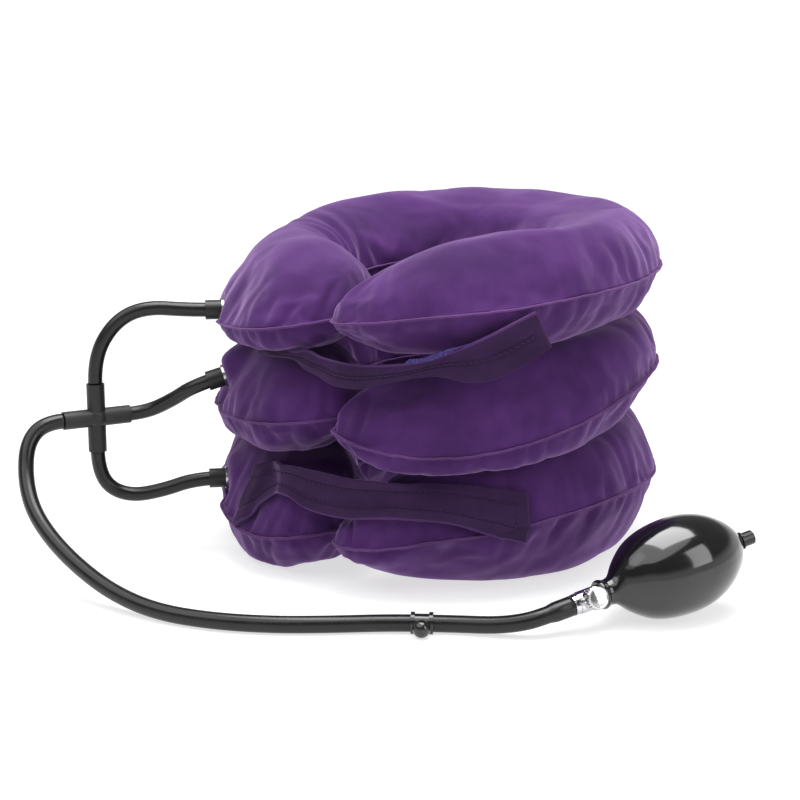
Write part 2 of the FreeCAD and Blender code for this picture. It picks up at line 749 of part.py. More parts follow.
def release_pieces():
    """Thumbscrew and spindle in one piece, and the seal ring in the spindle's groove."""
    screw = screw_frame()
    stem = "screw_bore - screw_clearance"
    blank = turned("screw_blank", [
        ("screw_seat + 0.1", "0"),
        ("knob_low + knob_thickness", "0"),
        ("knob_low + knob_thickness", "knob_radius - 0.6"),
        ("knob_low + knob_thickness - 0.6", "knob_radius"),
        ("knob_low", "knob_radius"),
        ("knob_low", stem),
        ("ring_low + ring_height + 0.1", stem),
        ("ring_low + ring_height + 0.1", "ring_groove"),
        ("ring_low - 0.1", "ring_groove"),
        ("ring_low - 0.1", stem),
        ("screw_seat + 1", stem),
        ("screw_seat + 0.1", "air_bore"),
    ], screw)
    count = int(size("knob_notches"))
    along_stem = FreeCAD.Placement(V(0, 0, 0), FreeCAD.Rotation(V(0, 1, 0), 90))
    flutes = []
    for n in range(count):
        turn = FreeCAD.Placement(V(0, 0, 0), FreeCAD.Rotation(X_AHEAD, 360 * n / count))
        rim = shifted(screw.multiply(turn), size("knob_low") - 1, size("knob_radius"))
        flutes.append(solid("Part::Cylinder", f"flute_{n}", rim.multiply(along_stem), Radius="knob_notch",
                            Height="knob_thickness + 2"))
    knob = cut("release_screw", blank, fuse("knob_flutes", flutes))
    ring = turned("release_seal", [
        ("ring_low", "ring_groove + 0.06"),
        ("ring_low + ring_height", "ring_groove + 0.06"),
        ("ring_low + ring_height", "screw_bore - 0.03"),
        ("ring_low", "screw_bore - 0.03"),
    ], screw)
    return [knob, ring]


def bulb_sections(wall):
    """The bulb's outline at a depth inside its skin, as points (along, radius)."""
    centre = size("bulb_centre")
    arc = size("bulb_arc") - wall
    drop = size("bulb_arc - bulb_radius")
    cap = size("bulb_cap_arc") - wall
    cap_at = size("bulb_half_length - bulb_cap_arc")
    lean = math.atan2(cap_at, drop)
    front = math.radians(44)
    hip = V(centre - arc * math.sin(front), arc * math.cos(front) - drop, 0)
    top = V(centre, arc - drop, 0)
    join = V(centre + arc * math.sin(lean), arc * math.cos(lean) - drop, 0)
    half = (lean + math.pi / 2) / 2
    on_cap = V(centre + cap_at + cap * math.sin(half), cap * math.cos(half), 0)
    end = V(centre + cap_at + cap, 0, 0)
    return hip, top, join, on_cap, end


def bulb():
    """Hollow rubber bulb with a sleeve neck over the valve's spigot and a rear hole."""
    shells = []
    layers = (("bulb_skin", 0, "bulb_neck"), ("bulb_hollow", size("bulb_wall"), "spigot_radius"))
    for name, wall, neck in layers:
        hip, top, join, on_cap, end = bulb_sections(wall)
        start = V(size("bulb_neck_start"), size(neck), 0)
        shoulder = V(size("bulb_shoulder") + wall, size(neck), 0)
        curve = Part.Arc(hip, top, join)
        blend = Part.Arc(shoulder, (shoulder + hip) * 0.5 + V(0.5, -0.7, 0), hip)
        axis_end, axis_start = end, V(start.x, 0, 0)
        edges = [Part.LineSegment(axis_start, start), Part.LineSegment(start, shoulder), blend, curve,
                 Part.Arc(join, on_cap, end), Part.LineSegment(axis_end, axis_start)]
        sketch = doc.addObject("Sketcher::SketchObject", name + "_section")
        for edge in edges:
            sketch.addGeometry(edge)
        sketch.Placement = pump_frame()
        ahead = pump_frame().Rotation.multVec(X_AHEAD)
        shells.append(revolve(name, sketch, pump_frame().Base, ahead, 360))
    hollow = cut("bulb_walls", *shells)
    turn = FreeCAD.Placement(V(0, 0, 0), FreeCAD.Rotation(V(0, 1, 0), 90))
    rear = shifted(pump_frame(), size("bulb_centre")).multiply(turn)
    hole = solid("Part::Cylinder", "bulb_rear_hole", rear, Radius="inlet_radius", Height="60")
    return cut("bulb", hollow, hole)


def inlet_pieces():
    """Inlet valve in the bulb's far end: housing, rubber disc, the grid inside and the cap."""
    rear = "bulb_centre + bulb_half_length"
    housing = turned("inlet_housing", [
        (rear + " - inlet_inside", "inlet_bore"),
        (rear + " - 0.5", "inlet_bore"),
        (rear + " - 0.5", "inlet_seat_bore"),
        (rear + " + inlet_seat_depth - 0.5", "inlet_seat_bore"),
        (rear + " + inlet_seat_depth - 0.5", "inlet_bore"),
        (rear + " + inlet_outside", "inlet_bore"),
        (rear + " + inlet_outside", "inlet_radius"),
        (rear + " + 1.6", "inlet_radius"),
        (rear + " + 1.6", "inlet_lip"),
        (rear + " + 0.6", "inlet_lip"),
        (rear + " + 0.6", "inlet_radius"),
        (rear + " - inlet_inside", "inlet_radius"),
    ], pump_frame())
    disc_face = size(rear) - 0.53
    turn = FreeCAD.Placement(V(0, 0, 0), FreeCAD.Rotation(V(0, 1, 0), -90))
    disc = solid("Part::Cylinder", "inlet_disc", shifted(pump_frame(), disc_face).multiply(turn),
                 Radius="disc_radius", Height="disc_thickness")
    pieces = [housing, disc]
    spots = {"inlet_grid": disc_face - size("disc_thickness + disc_travel") - 0.05,
             "inlet_cap": size(rear + " + inlet_outside")}
    for label, face in spots.items():
        place = shifted(pump_frame(), face).multiply(turn)
        plate = solid("Part::Cylinder", label + "_blank", place, Radius="inlet_bore", Height="cap_thickness")
        holes = []
        for n in range(5):
            angle = math.radians(72 * n)
            spot = V(1.5 * math.cos(angle), 1.5 * math.sin(angle), -1)
            shift = FreeCAD.Placement(spot, FreeCAD.Rotation())
            holes.append(solid("Part::Cylinder", f"{label}_hole_{n}", place.multiply(shift), Radius="0.45",
                               Height="cap_thickness + 2"))
        pieces.append(cut(label, plate, fuse(label + "_holes", holes)))
    return pieces


# ---------------------------------------------------------------- the part

def main():
    pieces = []
    for tier, level in (("bottom", "0"), ("middle", None), ("top", None)):
        pieces += tier_shell(tier, level)
        pieces += port_pieces(tier)
    pieces += upper_strap_pieces()
    pieces += lower_strap_pieces()
    pieces += branch_hoses()
    pieces.append(cross_connector())
    pieces.append(main_hose())
    pieces += ball_clip()
    pieces += valve_pieces()
    pieces += release_pieces()
    pieces.append(bulb())
    pieces += inlet_pieces()
    doc.recompute()
    for item in doc.Objects:
        if {"Invalid", "Error"} & set(item.State):
            raise RuntimeError(f"{item.Name} failed: {item.State}")
    os.makedirs("parts", exist_ok=True)
    for piece in pieces:
        piece.Label = piece.Name
        shape = piece.Shape
        if shape.isNull() or not shape.isValid() or not shape.Solids:
            raise RuntimeError(f"{piece.Label} has no valid solid")
        shape.exportStep(f"parts/{piece.Label}.step")
        box = shape.optimalBoundingBox()
        print(f"{piece.Label}: {len(shape.Solids)} solid, {shape.Volume:.0f} mm3, "
              f"z {box.ZMin:.2f} to {box.ZMax:.2f}")


main()
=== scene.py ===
import bmesh
import bpy
import json
import math
import numpy as np
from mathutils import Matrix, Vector
from mathutils.bvhtree import BVHTree


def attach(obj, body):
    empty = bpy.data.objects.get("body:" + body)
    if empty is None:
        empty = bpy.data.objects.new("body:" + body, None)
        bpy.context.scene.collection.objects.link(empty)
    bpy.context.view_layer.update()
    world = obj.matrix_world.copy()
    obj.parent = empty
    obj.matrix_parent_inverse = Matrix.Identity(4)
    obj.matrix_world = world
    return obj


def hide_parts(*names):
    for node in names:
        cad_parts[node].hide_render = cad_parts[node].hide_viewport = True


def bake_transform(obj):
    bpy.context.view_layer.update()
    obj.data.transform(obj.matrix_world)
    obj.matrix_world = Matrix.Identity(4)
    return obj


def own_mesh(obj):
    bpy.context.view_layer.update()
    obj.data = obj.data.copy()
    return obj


# Three-tier inflatable neck collar with a squeeze bulb. Metres, in the row frame:
# the origin is under the neck opening, and the gap between the arms faces -Y.

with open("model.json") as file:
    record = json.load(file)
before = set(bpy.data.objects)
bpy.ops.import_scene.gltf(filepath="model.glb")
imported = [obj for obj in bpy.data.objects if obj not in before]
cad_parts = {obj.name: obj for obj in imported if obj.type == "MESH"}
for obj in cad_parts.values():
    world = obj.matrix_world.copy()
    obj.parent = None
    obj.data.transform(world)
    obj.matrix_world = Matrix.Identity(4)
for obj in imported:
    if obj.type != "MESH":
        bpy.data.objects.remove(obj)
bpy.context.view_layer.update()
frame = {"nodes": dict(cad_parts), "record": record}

MM = 0.001

# ---------------------------------------------------------------- camera and hoses


def make_camera():
    data = bpy.data.cameras.new("camera")
    data.lens = 83.25
    data.sensor_width = 36
    camera = bpy.data.objects.new("camera", data)
    camera.location = (0.4568, -0.9123, 0.316)
    camera.rotation_euler = (math.radians(76.9), 0, math.radians(28))
    bpy.context.collection.objects.link(camera)
    bpy.context.scene.camera = camera


make_camera()

# the hoses' routes, as in the part's source
ROUTES = {
    "upper_hose": [
        (-0.10297, -0.06945, 0.133), (-0.11706, -0.07896, 0.133), (-0.136, -0.096, 0.136),
        (-0.149, -0.1065, 0.128), (-0.1575, -0.114, 0.109), (-0.1575, -0.114, 0.094),
    ],
    "middle_hose": [
        (-0.09695, -0.07851, 0.09767), (-0.10928, -0.08849, 0.09312), (-0.125, -0.088, 0.083),
        (-0.14087, -0.09024, 0.075), (-0.1466, -0.09844, 0.075),
    ],
    "lower_hose": [
        (-0.10048, -0.073, 0.038), (-0.11383, -0.0827, 0.038), (-0.129, -0.094, 0.032),
        (-0.143, -0.104, 0.0295), (-0.1535, -0.111, 0.035), (-0.1575, -0.114, 0.047),
        (-0.1575, -0.114, 0.056),
    ],
    "main_hose": [
        (-0.1684, -0.12956, 0.075), (-0.17471, -0.13857, 0.075), (-0.178, -0.149, 0.066),
        (-0.173, -0.158, 0.050), (-0.161, -0.168, 0.036), (-0.141, -0.178, 0.025),
        (-0.116, -0.187, 0.0155), (-0.089, -0.194, 0.008), (-0.060, -0.198, 0.0044),
        (-0.028, -0.196, 0.0044), (0.001, -0.1865, 0.0044), (0.026, -0.1725, 0.0044),
        (0.0504, -0.1568, 0.0044), (0.0776, -0.1442, 0.0044), (0.098, -0.1385, 0.0052),
        (0.1115, -0.1345, 0.0078), (0.12007, -0.12865, 0.01071), (0.12873, -0.11674, 0.01357),
    ],
}
BRANCH_RADIUS, MAIN_RADIUS = 4 * MM, 4.3 * MM


def link(name, data):
    piece = bpy.data.objects.new(name, data)
    bpy.context.collection.objects.link(piece)
    return piece


def mesh_piece(name, corners, faces, material):
    mesh = bpy.data.meshes.new(name)
    mesh.from_pydata([tuple(c) for c in corners], [], faces)
    mesh.validate()
    mesh.polygons.foreach_set("use_smooth", [True] * len(mesh.polygons))
    mesh.materials.append(material)
    return link(name, mesh)


def spline_points(route):
    """The points of the route's NURBS spline."""
    curve = bpy.data.curves.new("route", "CURVE")
    curve.dimensions = "3D"
    curve.resolution_u = 16
    spline = curve.splines.new("NURBS")
    spline.points.add(len(route) - 1)
    for point, place in zip(spline.points, route):
        point.co = (*place, 1)
    spline.order_u = 3
    spline.use_endpoint_u = True
    holder = link("route", curve)
    bpy.context.view_layer.update()
    mesh = bpy.data.meshes.new_from_object(holder)
    points = np.array([v.co for v in mesh.vertices])
    bpy.data.objects.remove(holder)
    bpy.data.curves.remove(curve)
    bpy.data.meshes.remove(mesh)
    return points


def lengths_along(points):
    steps = np.linalg.norm(np.diff(points, axis=0), axis=1)
    return np.concatenate([[0], np.cumsum(steps)])


def unit(vectors):
    return vectors / np.linalg.norm(vectors, axis=-1, keepdims=True)


def carried_frames(points):
    """Two unit vectors across a path at each point, turned as little as possible."""
    ahead = unit(np.gradient(points, axis=0))
    side = np.cross(ahead[0], (0, 0, 1) if abs(ahead[0][2]) < 0.9 else (1, 0, 0))
    sides = []
    for direction in ahead:
        side = unit(side - direction * (side @ direction))
        sides.append(side)
    sides = np.array(sides)
    return sides, np.cross(ahead, sides)


def grid_faces(rows, columns, ring, loop=False):
    """Quads of a grid, whose columns may close into a ring and its rows into a loop."""
    faces = []
    for i in range(rows if loop else rows - 1):
        n = (i + 1) % rows
        for j in range(columns if ring else columns - 1):
            k = (j + 1) % columns
            faces.append((i * columns + j, i * columns + k, n * columns + k, n * columns + j))
    return faces


def capped_tube(name, grid, material):
    """A closed skin of a grid's rows, with a point at each end."""
    rows, columns = grid.shape[:2]
    corners = np.concatenate([grid.reshape(-1, 3), grid[0].mean(axis=0)[None], grid[-1].mean(axis=0)[None]])
    faces = grid_faces(rows, columns, True)
    start, end, last = rows * columns, rows * columns + 1, (rows - 1) * columns
    for j in range(columns):
        k = (j + 1) % columns
        faces.append((start, k, j))
        faces.append((end, last + j, last + k))
    return mesh_piece(name, corners, faces, material)


def tube(name, points, radii, material, around=28):
    """A tube with closed ends along points, with a radius at each."""
    first, second = carried_frames(points)
    angles = np.linspace(0, 2 * math.pi, around, endpoint=False)
    rings = []
    for point, a, b, radius in zip(points, first, second, radii):
        rings.append(point + radius * (np.outer(np.cos(angles), a) + np.outer(np.sin(angles), b)))
    return capped_tube(name, np.array(rings), material)


# ---------------------------------------------------------------- materials


def new_material(name, colour, roughness, **sockets):
    material = bpy.data.materials.new(name)
    material.use_nodes = True
    shader = material.node_tree.nodes["Principled BSDF"]
    shader.inputs["Base Color"].default_value = (*colour, 1)
    shader.inputs["Roughness"].default_value = roughness
    for key, value in sockets.items():
        shader.inputs[key.replace("_", " ")].default_value = value
    material.diffuse_color = (*colour, 1)
    return material, shader


def noise(material, scale, detail=4, roughness=0.5, stretch=None):
    """A noise texture in metres, optionally stretched by a mapping."""
    nodes, links = material.node_tree.nodes, material.node_tree.links
    where = nodes.new("ShaderNodeTexCoord")
    texture = nodes.new("ShaderNodeTexNoise")
    texture.inputs["Scale"].default_value = scale
    texture.inputs["Detail"].default_value = detail
    texture.inputs["Roughness"].default_value = roughness
    source = where.outputs["Object"]
    if stretch:
        mapping = nodes.new("ShaderNodeMapping")
        mapping.inputs["Scale"].default_value = stretch
        links.new(source, mapping.inputs["Vector"])
        source = mapping.outputs["Vector"]
    links.new(source, texture.inputs["Vector"])
    return texture.outputs["Fac"]


def ramp(material, factor, stops):
    """A colour ramp from (position, colour) pairs."""
    node = material.node_tree.nodes.new("ShaderNodeValToRGB")
    band = node.color_ramp
    for n, (position, colour) in enumerate(stops):
        stop = band.elements[n] if n < 2 else band.elements.new(position)
        stop.position = position
        stop.color = (*colour, 1)
    material.node_tree.links.new(factor, node.inputs["Fac"])
    return node.outputs["Color"]


def mix(material, kind, factor, first, second):
    node = material.node_tree.nodes.new("ShaderNodeMix")
    node.data_type = "RGBA"
    node.blend_type = kind
    node.inputs["Factor"].default_value = factor
    material.node_tree.links.new(first, node.inputs["A"])
    material.node_tree.links.new(second, node.inputs["B"])
    return node.outputs["Result"]


def bump(material, shader, layers):
    """Bumps in a chain, from (height socket, strength, distance in metres)."""
    nodes, links = material.node_tree.nodes, material.node_tree.links
    before = None
    for height, strength, distance in layers:
        node = nodes.new("ShaderNodeBump")
        node.inputs["Strength"].default_value = strength
        node.inputs["Distance"].default_value = distance
        links.new(height, node.inputs["Height"])
        if before:
            links.new(before, node.inputs["Normal"])
        before = node.outputs["Normal"]
    links.new(before, shader.inputs["Normal"])


def grey(level):
    return (level, level, level)


SHEEN_TINT = (0.80, 0.53, 1.0)


def velvet(name, dark, light, sheen):
    """Short pile: brushed patches, a fine fibre grain and a strong sheen."""
    material, shader = new_material(
        name, light, 0.82, Sheen_Weight=sheen, Sheen_Roughness=0.42, Sheen_Tint=(*SHEEN_TINT, 1),
        Specular_IOR_Level=0.12)
    patches = noise(material, 26, 3, 0.55, (1, 1, 1.7))
    streaks = noise(material, 230, 5, 0.6, (1, 1, 0.45))
    fibres = noise(material, 2600, 2, 0.6)
    base = ramp(material, patches, ((0.32, dark), (0.72, light)))
    brushed = ramp(material, streaks, ((0.3, grey(0.86)), (0.75, grey(1.0))))
    fine = ramp(material, fibres, ((0.25, grey(0.82)), (0.7, grey(1.0))))
    colour = mix(material, "MULTIPLY", 1.0, mix(material, "MULTIPLY", 1.0, base, brushed), fine)
    material.node_tree.links.new(colour, shader.inputs["Base Color"])
    bump(material, shader, ((fibres, 0.35, 0.0003), (streaks, 0.25, 0.0006)))
    return material


def hook_tape():
    """Tape of fine hooks in rows."""
    colour = (0.07, 0.035, 0.33)
    material, shader = new_material("hook_tape", colour, 0.55, Specular_IOR_Level=0.35)
    nodes, links = material.node_tree.nodes, material.node_tree.links
    where = nodes.new("ShaderNodeTexCoord")
    cells = nodes.new("ShaderNodeTexVoronoi")
    cells.inputs["Scale"].default_value = 850
    links.new(where.outputs["Object"], cells.inputs["Vector"])
    stops = ((0.1, (0.10, 0.055, 0.31)), (0.6, (0.022, 0.013, 0.10)))
    shade = ramp(material, cells.outputs["Distance"], stops)
    links.new(shade, shader.inputs["Base Color"])
    bump(material, shader, ((cells.outputs["Distance"], 0.8, -0.0005),))
    return material


def rubber(name, level, roughness, spread, grain, coat=0.0):
    """Black rubber or plastic with slightly uneven gloss and a moulded grain."""
    material, shader = new_material(name, grey(level), roughness, Specular_IOR_Level=0.38,
                                    Coat_Weight=coat, Coat_Roughness=0.06)
    smears = noise(material, 60, 4, 0.6)
    specks = noise(material, 1500, 3, 0.6)
    gloss = ramp(material, smears, ((0.3, grey(roughness - spread)), (0.75, grey(roughness + spread))))
    tone = ramp(material, smears, ((0.25, grey(level * 0.7)), (0.8, grey(level * 1.5))))
    material.node_tree.links.new(gloss, shader.inputs["Roughness"])
    material.node_tree.links.new(tone, shader.inputs["Base Color"])
    bump(material, shader, ((specks, grain, 0.0002),))
    return material


def metal(name, level, roughness, scratches):
    material, shader = new_material(name, (level, level, level * 1.02), roughness, Metallic=1.0)
    smears = noise(material, 140, 5, 0.65)
    lines = noise(material, 900, 3, 0.6, (1, 1, 6))
    gloss = ramp(material, smears, ((0.3, grey(roughness * 0.6)), (0.8, grey(roughness * 1.8))))
    material.node_tree.links.new(gloss, shader.inputs["Roughness"])
    bump(material, shader, ((lines, scratches, 0.0001),))
    return material


def twisted_thread(colour):
    material, shader = new_material("thread", colour, 0.6, Specular_IOR_Level=0.2)
    fibres = noise(material, 1800, 3, 0.6)
    dark = tuple(c * 0.6 for c in colour)
    shade = ramp(material, fibres, ((0.3, dark), (0.7, colour)))
    material.node_tree.links.new(shade, shader.inputs["Base Color"])
    bump(material, shader, ((fibres, 0.3, 0.0002),))
    return material


def latex():
    material, shader = new_material("latex", (0.55, 0.48, 0.38), 0.45, Specular_IOR_Level=0.4)
    clouds = noise(material, 90, 4, 0.6)
    shade = ramp(material, clouds, ((0.3, (0.48, 0.41, 0.31)), (0.75, (0.6, 0.53, 0.42))))
    material.node_tree.links.new(shade, shader.inputs["Base Color"])
    bump(material, shader, ((clouds, 0.2, 0.0004),))
    return material


MATERIALS = {
    "velvet": velvet("velvet", (0.046, 0.0125, 0.085), (0.083, 0.024, 0.145), 0.5),
    "velvet_strap": velvet("velvet_strap", (0.024, 0.009, 0.040), (0.043, 0.016, 0.066), 0.17),
    "piping": velvet("piping", (0.050, 0.019, 0.085), (0.085, 0.032, 0.132), 0.3),
    "welt": velvet("welt", (0.070, 0.023, 0.104), (0.118, 0.041, 0.162), 0.42),
    "thread": twisted_thread((0.034, 0.013, 0.055)),
    "hook_tape": hook_tape(),
    "latex": latex(),
    "hose_rubber": rubber("hose_rubber", 0.007, 0.27, 0.07, 0.10),
    "bulb_rubber": rubber("bulb_rubber", 0.004, 0.14, 0.04, 0.03, 0.65),
    "seat_rubber": rubber("seat_rubber", 0.04, 0.55, 0.05, 0.2),
    "ferrule": rubber("ferrule", 0.012, 0.40, 0.06, 0.15),
    "connector": rubber("connector", 0.014, 0.48, 0.06, 0.3),
    "clip": rubber("clip", 0.010, 0.16, 0.04, 0.05, 0.5),
    "inlet_plastic": rubber("inlet_plastic", 0.010, 0.24, 0.05, 0.1),
    "valve_chrome": metal("valve_chrome", 0.62, 0.12, 0.12),
    "eyelet_chrome": metal("eyelet_chrome", 0.55, 0.18, 0.2),
    "steel": metal("steel", 0.6, 0.25, 0.3),
}

for row in frame["record"]["subparts"]:
    node = frame["nodes"][row["node"]]
    node.data.materials.clear()
    node.data.materials.append(MATERIALS[row["material_slot"]])


# ---------------------------------------------------------------- hoses


CUFF_LENGTH, CUFF_SWELL = 13 * MM, 0.7 * MM


def make_hose(name, radius, cuffed):
    """A hose on its route's spline, which may be swollen where its far end covers a barb."""
    points = spline_points(ROUTES[name])
    along = lengths_along(points)
    total = along[-1]
    radii = np.full(len(points), radius)
    if cuffed:
        radii += CUFF_SWELL * np.clip((CUFF_LENGTH - (total - along)) / (4 * MM), 0, 1) ** 0.7
    piece = tube(name + "_tube", points, radii, MATERIALS["hose_rubber"])
    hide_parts(name)
    return piece, points, total


# the bodies that a hose's two ends ride on
HOSE_RIDES = {
    "upper_hose": ("top_tier", "manifold"),
    "middle_hose": ("middle_tier", "manifold"),
    "main_hose": ("base", "manifold"),
}


def hoses():
    for name in ROUTES:
        main = name == "main_hose"
        radius = MAIN_RADIUS if main else BRANCH_RADIUS
        piece, points, total = make_hose(name, radius, main)
        if name in HOSE_RIDES:
            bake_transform(piece)
        else:
            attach(piece, "manifold")


hoses()

# ---------------------------------------------------------------- the tiers' shape

RING, HALF = 85 * MM, 38 * MM
LEAN_AZIMUTH = math.radians(67)
SLOPE = math.tan(math.radians(4.4))
# the arms' ends: the right arm's tip lies outside the left arm's round end
RIGHT_TIP, LEFT_TIP = -91.5, 270.0
RIGHT_TAPER, LEFT_TAPER = 60 * MM, 44 * MM
COLUMNS = 104
# how far the bottom tier's underside would sink if the floor gave way
FLOOR_SINK = 2 * MM
# heights where the tiers press on each other, at the neck's axis
LOWER_CONTACT, UPPER_CONTACT = 71.5 * MM, 128.2 * MM
CONTACT_GAP = 0.25 * MM
# the soft tiers sit a little towards the ports
SIT = np.array((-4.2, -2.2, 0)) * MM

# air ports: azimuth and pitch in degrees, height and radius of the eyelet's face
PORTS = {
    "bottom": (-144, 0, 38 * MM, 123 * MM),
    "middle": (-141, 16, 98 * MM, 123.6 * MM),
    "top": (-146, 0, 133 * MM, 123 * MM),
}

# per tier: the seam's height at the neck's axis, the crown above and the belly below it (the
# bottom one's belly reaches the floor), the length over which the right arm's belly slims,
# and how far the outer seam wanders up or down, in millimetres at azimuths in degrees
TIERS = {
    "bottom": {
        "seam": 37 * MM, "rise": 39 * MM, "drop": None, "under": 120 * MM, "body": "base",
        "joint": "manifold_settle", "anchor": 0.0, "seed": 5,
        "wander": ((-92, -4), (-81, -3), (-60, 3), (-42, 5), (-23, 7), (-4, 5), (16, 0), (60, 0),
                   (150, 0), (205, 5), (220, -2), (241, -8), (262, -3), (271, -1)),
    },
    "middle": {
        "seam": 93.6 * MM, "rise": 38 * MM, "drop": 28 * MM, "under": 78 * MM, "body": "middle_tier",
        "joint": "middle_settle", "anchor": 0.098, "seed": 6,
        "wander": ((-92, 2), (-78, -7), (-61, -12), (-41, -9), (-23, -3), (-2, 5), (10, 7), (50, 1),
                   (150, 0), (205, -7), (225, -4), (245, -1), (266, 4), (271, 4)),
    },
    "top": {
        "seam": 150.2 * MM, "rise": 32.5 * MM, "drop": 28 * MM, "under": 78 * MM, "body": "top_tier",
        "joint": "top_settle", "anchor": 0.133, "seed": 7,
        "wander": ((-92, 0), (-66, 5), (-25, 6), (0, 4), (50, 0), (150, -1), (190, -9), (212, -14),
                   (243, -8), (260, -3), (271, -1)),
    },
}


def leaning_plane(height, x, y):
    return height + SLOPE * (x * math.cos(LEAN_AZIMUTH) + y * math.sin(LEAN_AZIMUTH))


def soft_table(pairs, at, blur=7.0):
    """Values given at azimuths, joined and smoothed."""
    knots = np.array(pairs, float)
    fine = np.arange(-130.0, 310.0)
    level = np.interp(fine, knots[:, 0], knots[:, 1])
    reach = np.arange(-4 * blur, 4 * blur + 1)
    weight = np.exp(-0.5 * (reach / blur) ** 2)
    padded = np.pad(level, len(reach) // 2, mode="edge")
    return np.interp(at, fine, np.convolve(padded, weight / weight.sum(), mode="valid"))


def soft_min(a, b, width):
    """The smaller of two values, rounded over a width where they meet."""
    if not width:
        return np.minimum(a, b)
    share = np.clip(0.5 + 0.5 * (b - a) / width, 0, 1)
    return b * (1 - share) + a * share - width * share * (1 - share)


def soft_max(a, b, width):
    return -soft_min(-a, -b, width)


def round_end(distance, taper):
    """Width share at a distance from an arm's end: the quarter of an ellipse."""
    away = 1 - np.clip(distance / taper, 0, 1)
    return np.sqrt(np.clip(1 - away * away, 0, 1))


def row_azimuths():
    """Azimuths of the rows from the right tip to the left one, closer at the ends."""
    turn = np.linspace(0.06, math.pi / 2, 40)
    right = RIGHT_TIP + np.degrees(RIGHT_TAPER * (1 - np.cos(turn)) / RING)
    left = LEFT_TIP - np.degrees(LEFT_TAPER * (1 - np.cos(turn)) / RING)
    between = np.linspace(right[-1], left[-1], 228)[1:-1]
    return np.concatenate([right, between, left[::-1]])


def tier_form(tier):
    """The smooth inflated form as a grid of rows (round the neck) and columns (round the tube)."""
    spec = TIERS[tier]
    azimuth = row_azimuths()
    from_right = np.radians(azimuth - RIGHT_TIP) * RING
    from_left = np.radians(LEFT_TIP - azimuth) * RING
    narrow = np.minimum(round_end(from_right, RIGHT_TAPER), round_end(from_left, LEFT_TAPER))
    left_share = round_end(from_left, 66 * MM) ** 0.95
    high_share = np.minimum(round_end(from_right, 78 * MM) ** 0.85, left_share)[:, None]
    low_share = np.minimum(round_end(from_right, spec["under"]) ** 0.85, left_share)[:, None]
    # the left arm's lobe is fuller, and the ring is nipped behind it
    lobe = np.exp(-((azimuth - 228) / 24) ** 2)
    nip = np.exp(-((azimuth - 182) / 9) ** 2)
    half = HALF * narrow * (1 + 0.03 * lobe - 0.05 * nip)
    centre = RING + 21 * MM * (1 - np.clip(from_right / RIGHT_TAPER, 0, 1)) ** 2
    centre = centre - 5 * MM * (1 - np.clip(from_left / LEFT_TAPER, 0, 1)) ** 2 - 1 * MM * lobe
    theta = np.linspace(0, 2 * math.pi, COLUMNS, endpoint=False)
    radius = centre[:, None] + half[:, None] * np.cos(theta)[None, :]
    angle = np.radians(azimuth)[:, None]
    x, y = radius * np.cos(angle), radius * np.sin(angle)
    wander = soft_table(spec["wander"], azimuth)[:, None] * MM
    level = leaning_plane(spec["seam"], x, y)
    level = level + wander * np.clip((radius - RING + HALF) / (2 * HALF), 0, 1)
    swell = np.abs(np.sin(theta)) ** 1.12
    above = (np.sin(theta) >= 0)[None, :]
    rise = np.full((len(azimuth), 1), spec["rise"])
    if tier == "top":
        rise = rise * (1 + 0.05 * lobe - 0.06 * nip)[:, None]
    drop = spec["drop"] or level.mean(axis=1, keepdims=True) + FLOOR_SINK + 8 * MM * lobe[:, None]
    up = level + rise * high_share * swell
    down = level - drop * low_share * swell
    z = np.where(above, up, down)
    return azimuth, theta, np.stack([x, y, z], axis=2), above


def press(tier, grid, above, width):
    """Flattens a tier where it rests on the floor or presses on its neighbours."""
    x, y, z = grid[..., 0], grid[..., 1], grid[..., 2]
    low = {"bottom": None, "middle": LOWER_CONTACT, "top": UPPER_CONTACT}[tier]
    high = {"bottom": LOWER_CONTACT, "middle": UPPER_CONTACT, "top": None}[tier]
    if low is None:
        floor = np.full_like(z, 0.3 * MM)
    else:
        floor = leaning_plane(low + CONTACT_GAP, x, y)
    z = np.where(above, z, soft_max(z, floor, width))
    if high is not None:
        ceiling = leaning_plane(high - CONTACT_GAP, x, y)
        z = np.where(above, soft_min(z, ceiling, width), z)
    return np.stack([x, y, z], axis=2)


def grid_normals(grid):
    along = np.gradient(grid, axis=0)
    around = np.roll(grid, -1, axis=1) - np.roll(grid, 1, axis=1)
    normal = np.cross(around, along)
    size = np.linalg.norm(normal, axis=2)
    normal = normal / np.maximum(size, 1e-12)[..., None]
    middle = grid.mean(axis=1)[:, None, :]
    if (normal * (grid - middle)).sum() < 0:
        normal = -normal
    return normal


def puckers(arc, away, draw, spacing, reach, depth):
    """Gathers that run off a seam: arc is the place along it, away the distance from it."""
    total = np.zeros_like(away)
    place = arc.min() + draw.uniform(0, spacing)
    while place < arc.max():
        length = reach * draw.uniform(0.45, 1.25)
        lean = draw.normal(0, 0.22)
        width = draw.uniform(1.2, 2.6) * MM
        deep = depth * draw.uniform(0.35, 1.2)
        across = arc[:, None] - place - lean * away
        share = np.clip(away / length, 0, 1)
        shape = (share + 0.10) ** 0.45 * (1 - share) ** 1.2
        total -= deep * shape * np.exp(-(across / (width * (1 + 0.9 * share))) ** 2)
        place += spacing * draw.uniform(0.45, 1.6)
    return total


def seam_distances(grid):
    """Distance of each point from the outer and from the inner seam, along its own panel."""
    half = COLUMNS // 2
    outer = np.zeros(grid.shape[:2])
    inner = np.zeros(grid.shape[:2])
    for columns in (list(range(0, half + 1)), [0] + list(range(COLUMNS - 1, half - 1, -1))):
        panel = grid[:, columns]
        steps = np.linalg.norm(np.diff(panel, axis=1), axis=2)
        away = np.concatenate([np.zeros((len(grid), 1)), np.cumsum(steps, axis=1)], axis=1)
        outer[:, columns] = away
        inner[:, columns] = away[:, -1:] - away
    return outer, inner


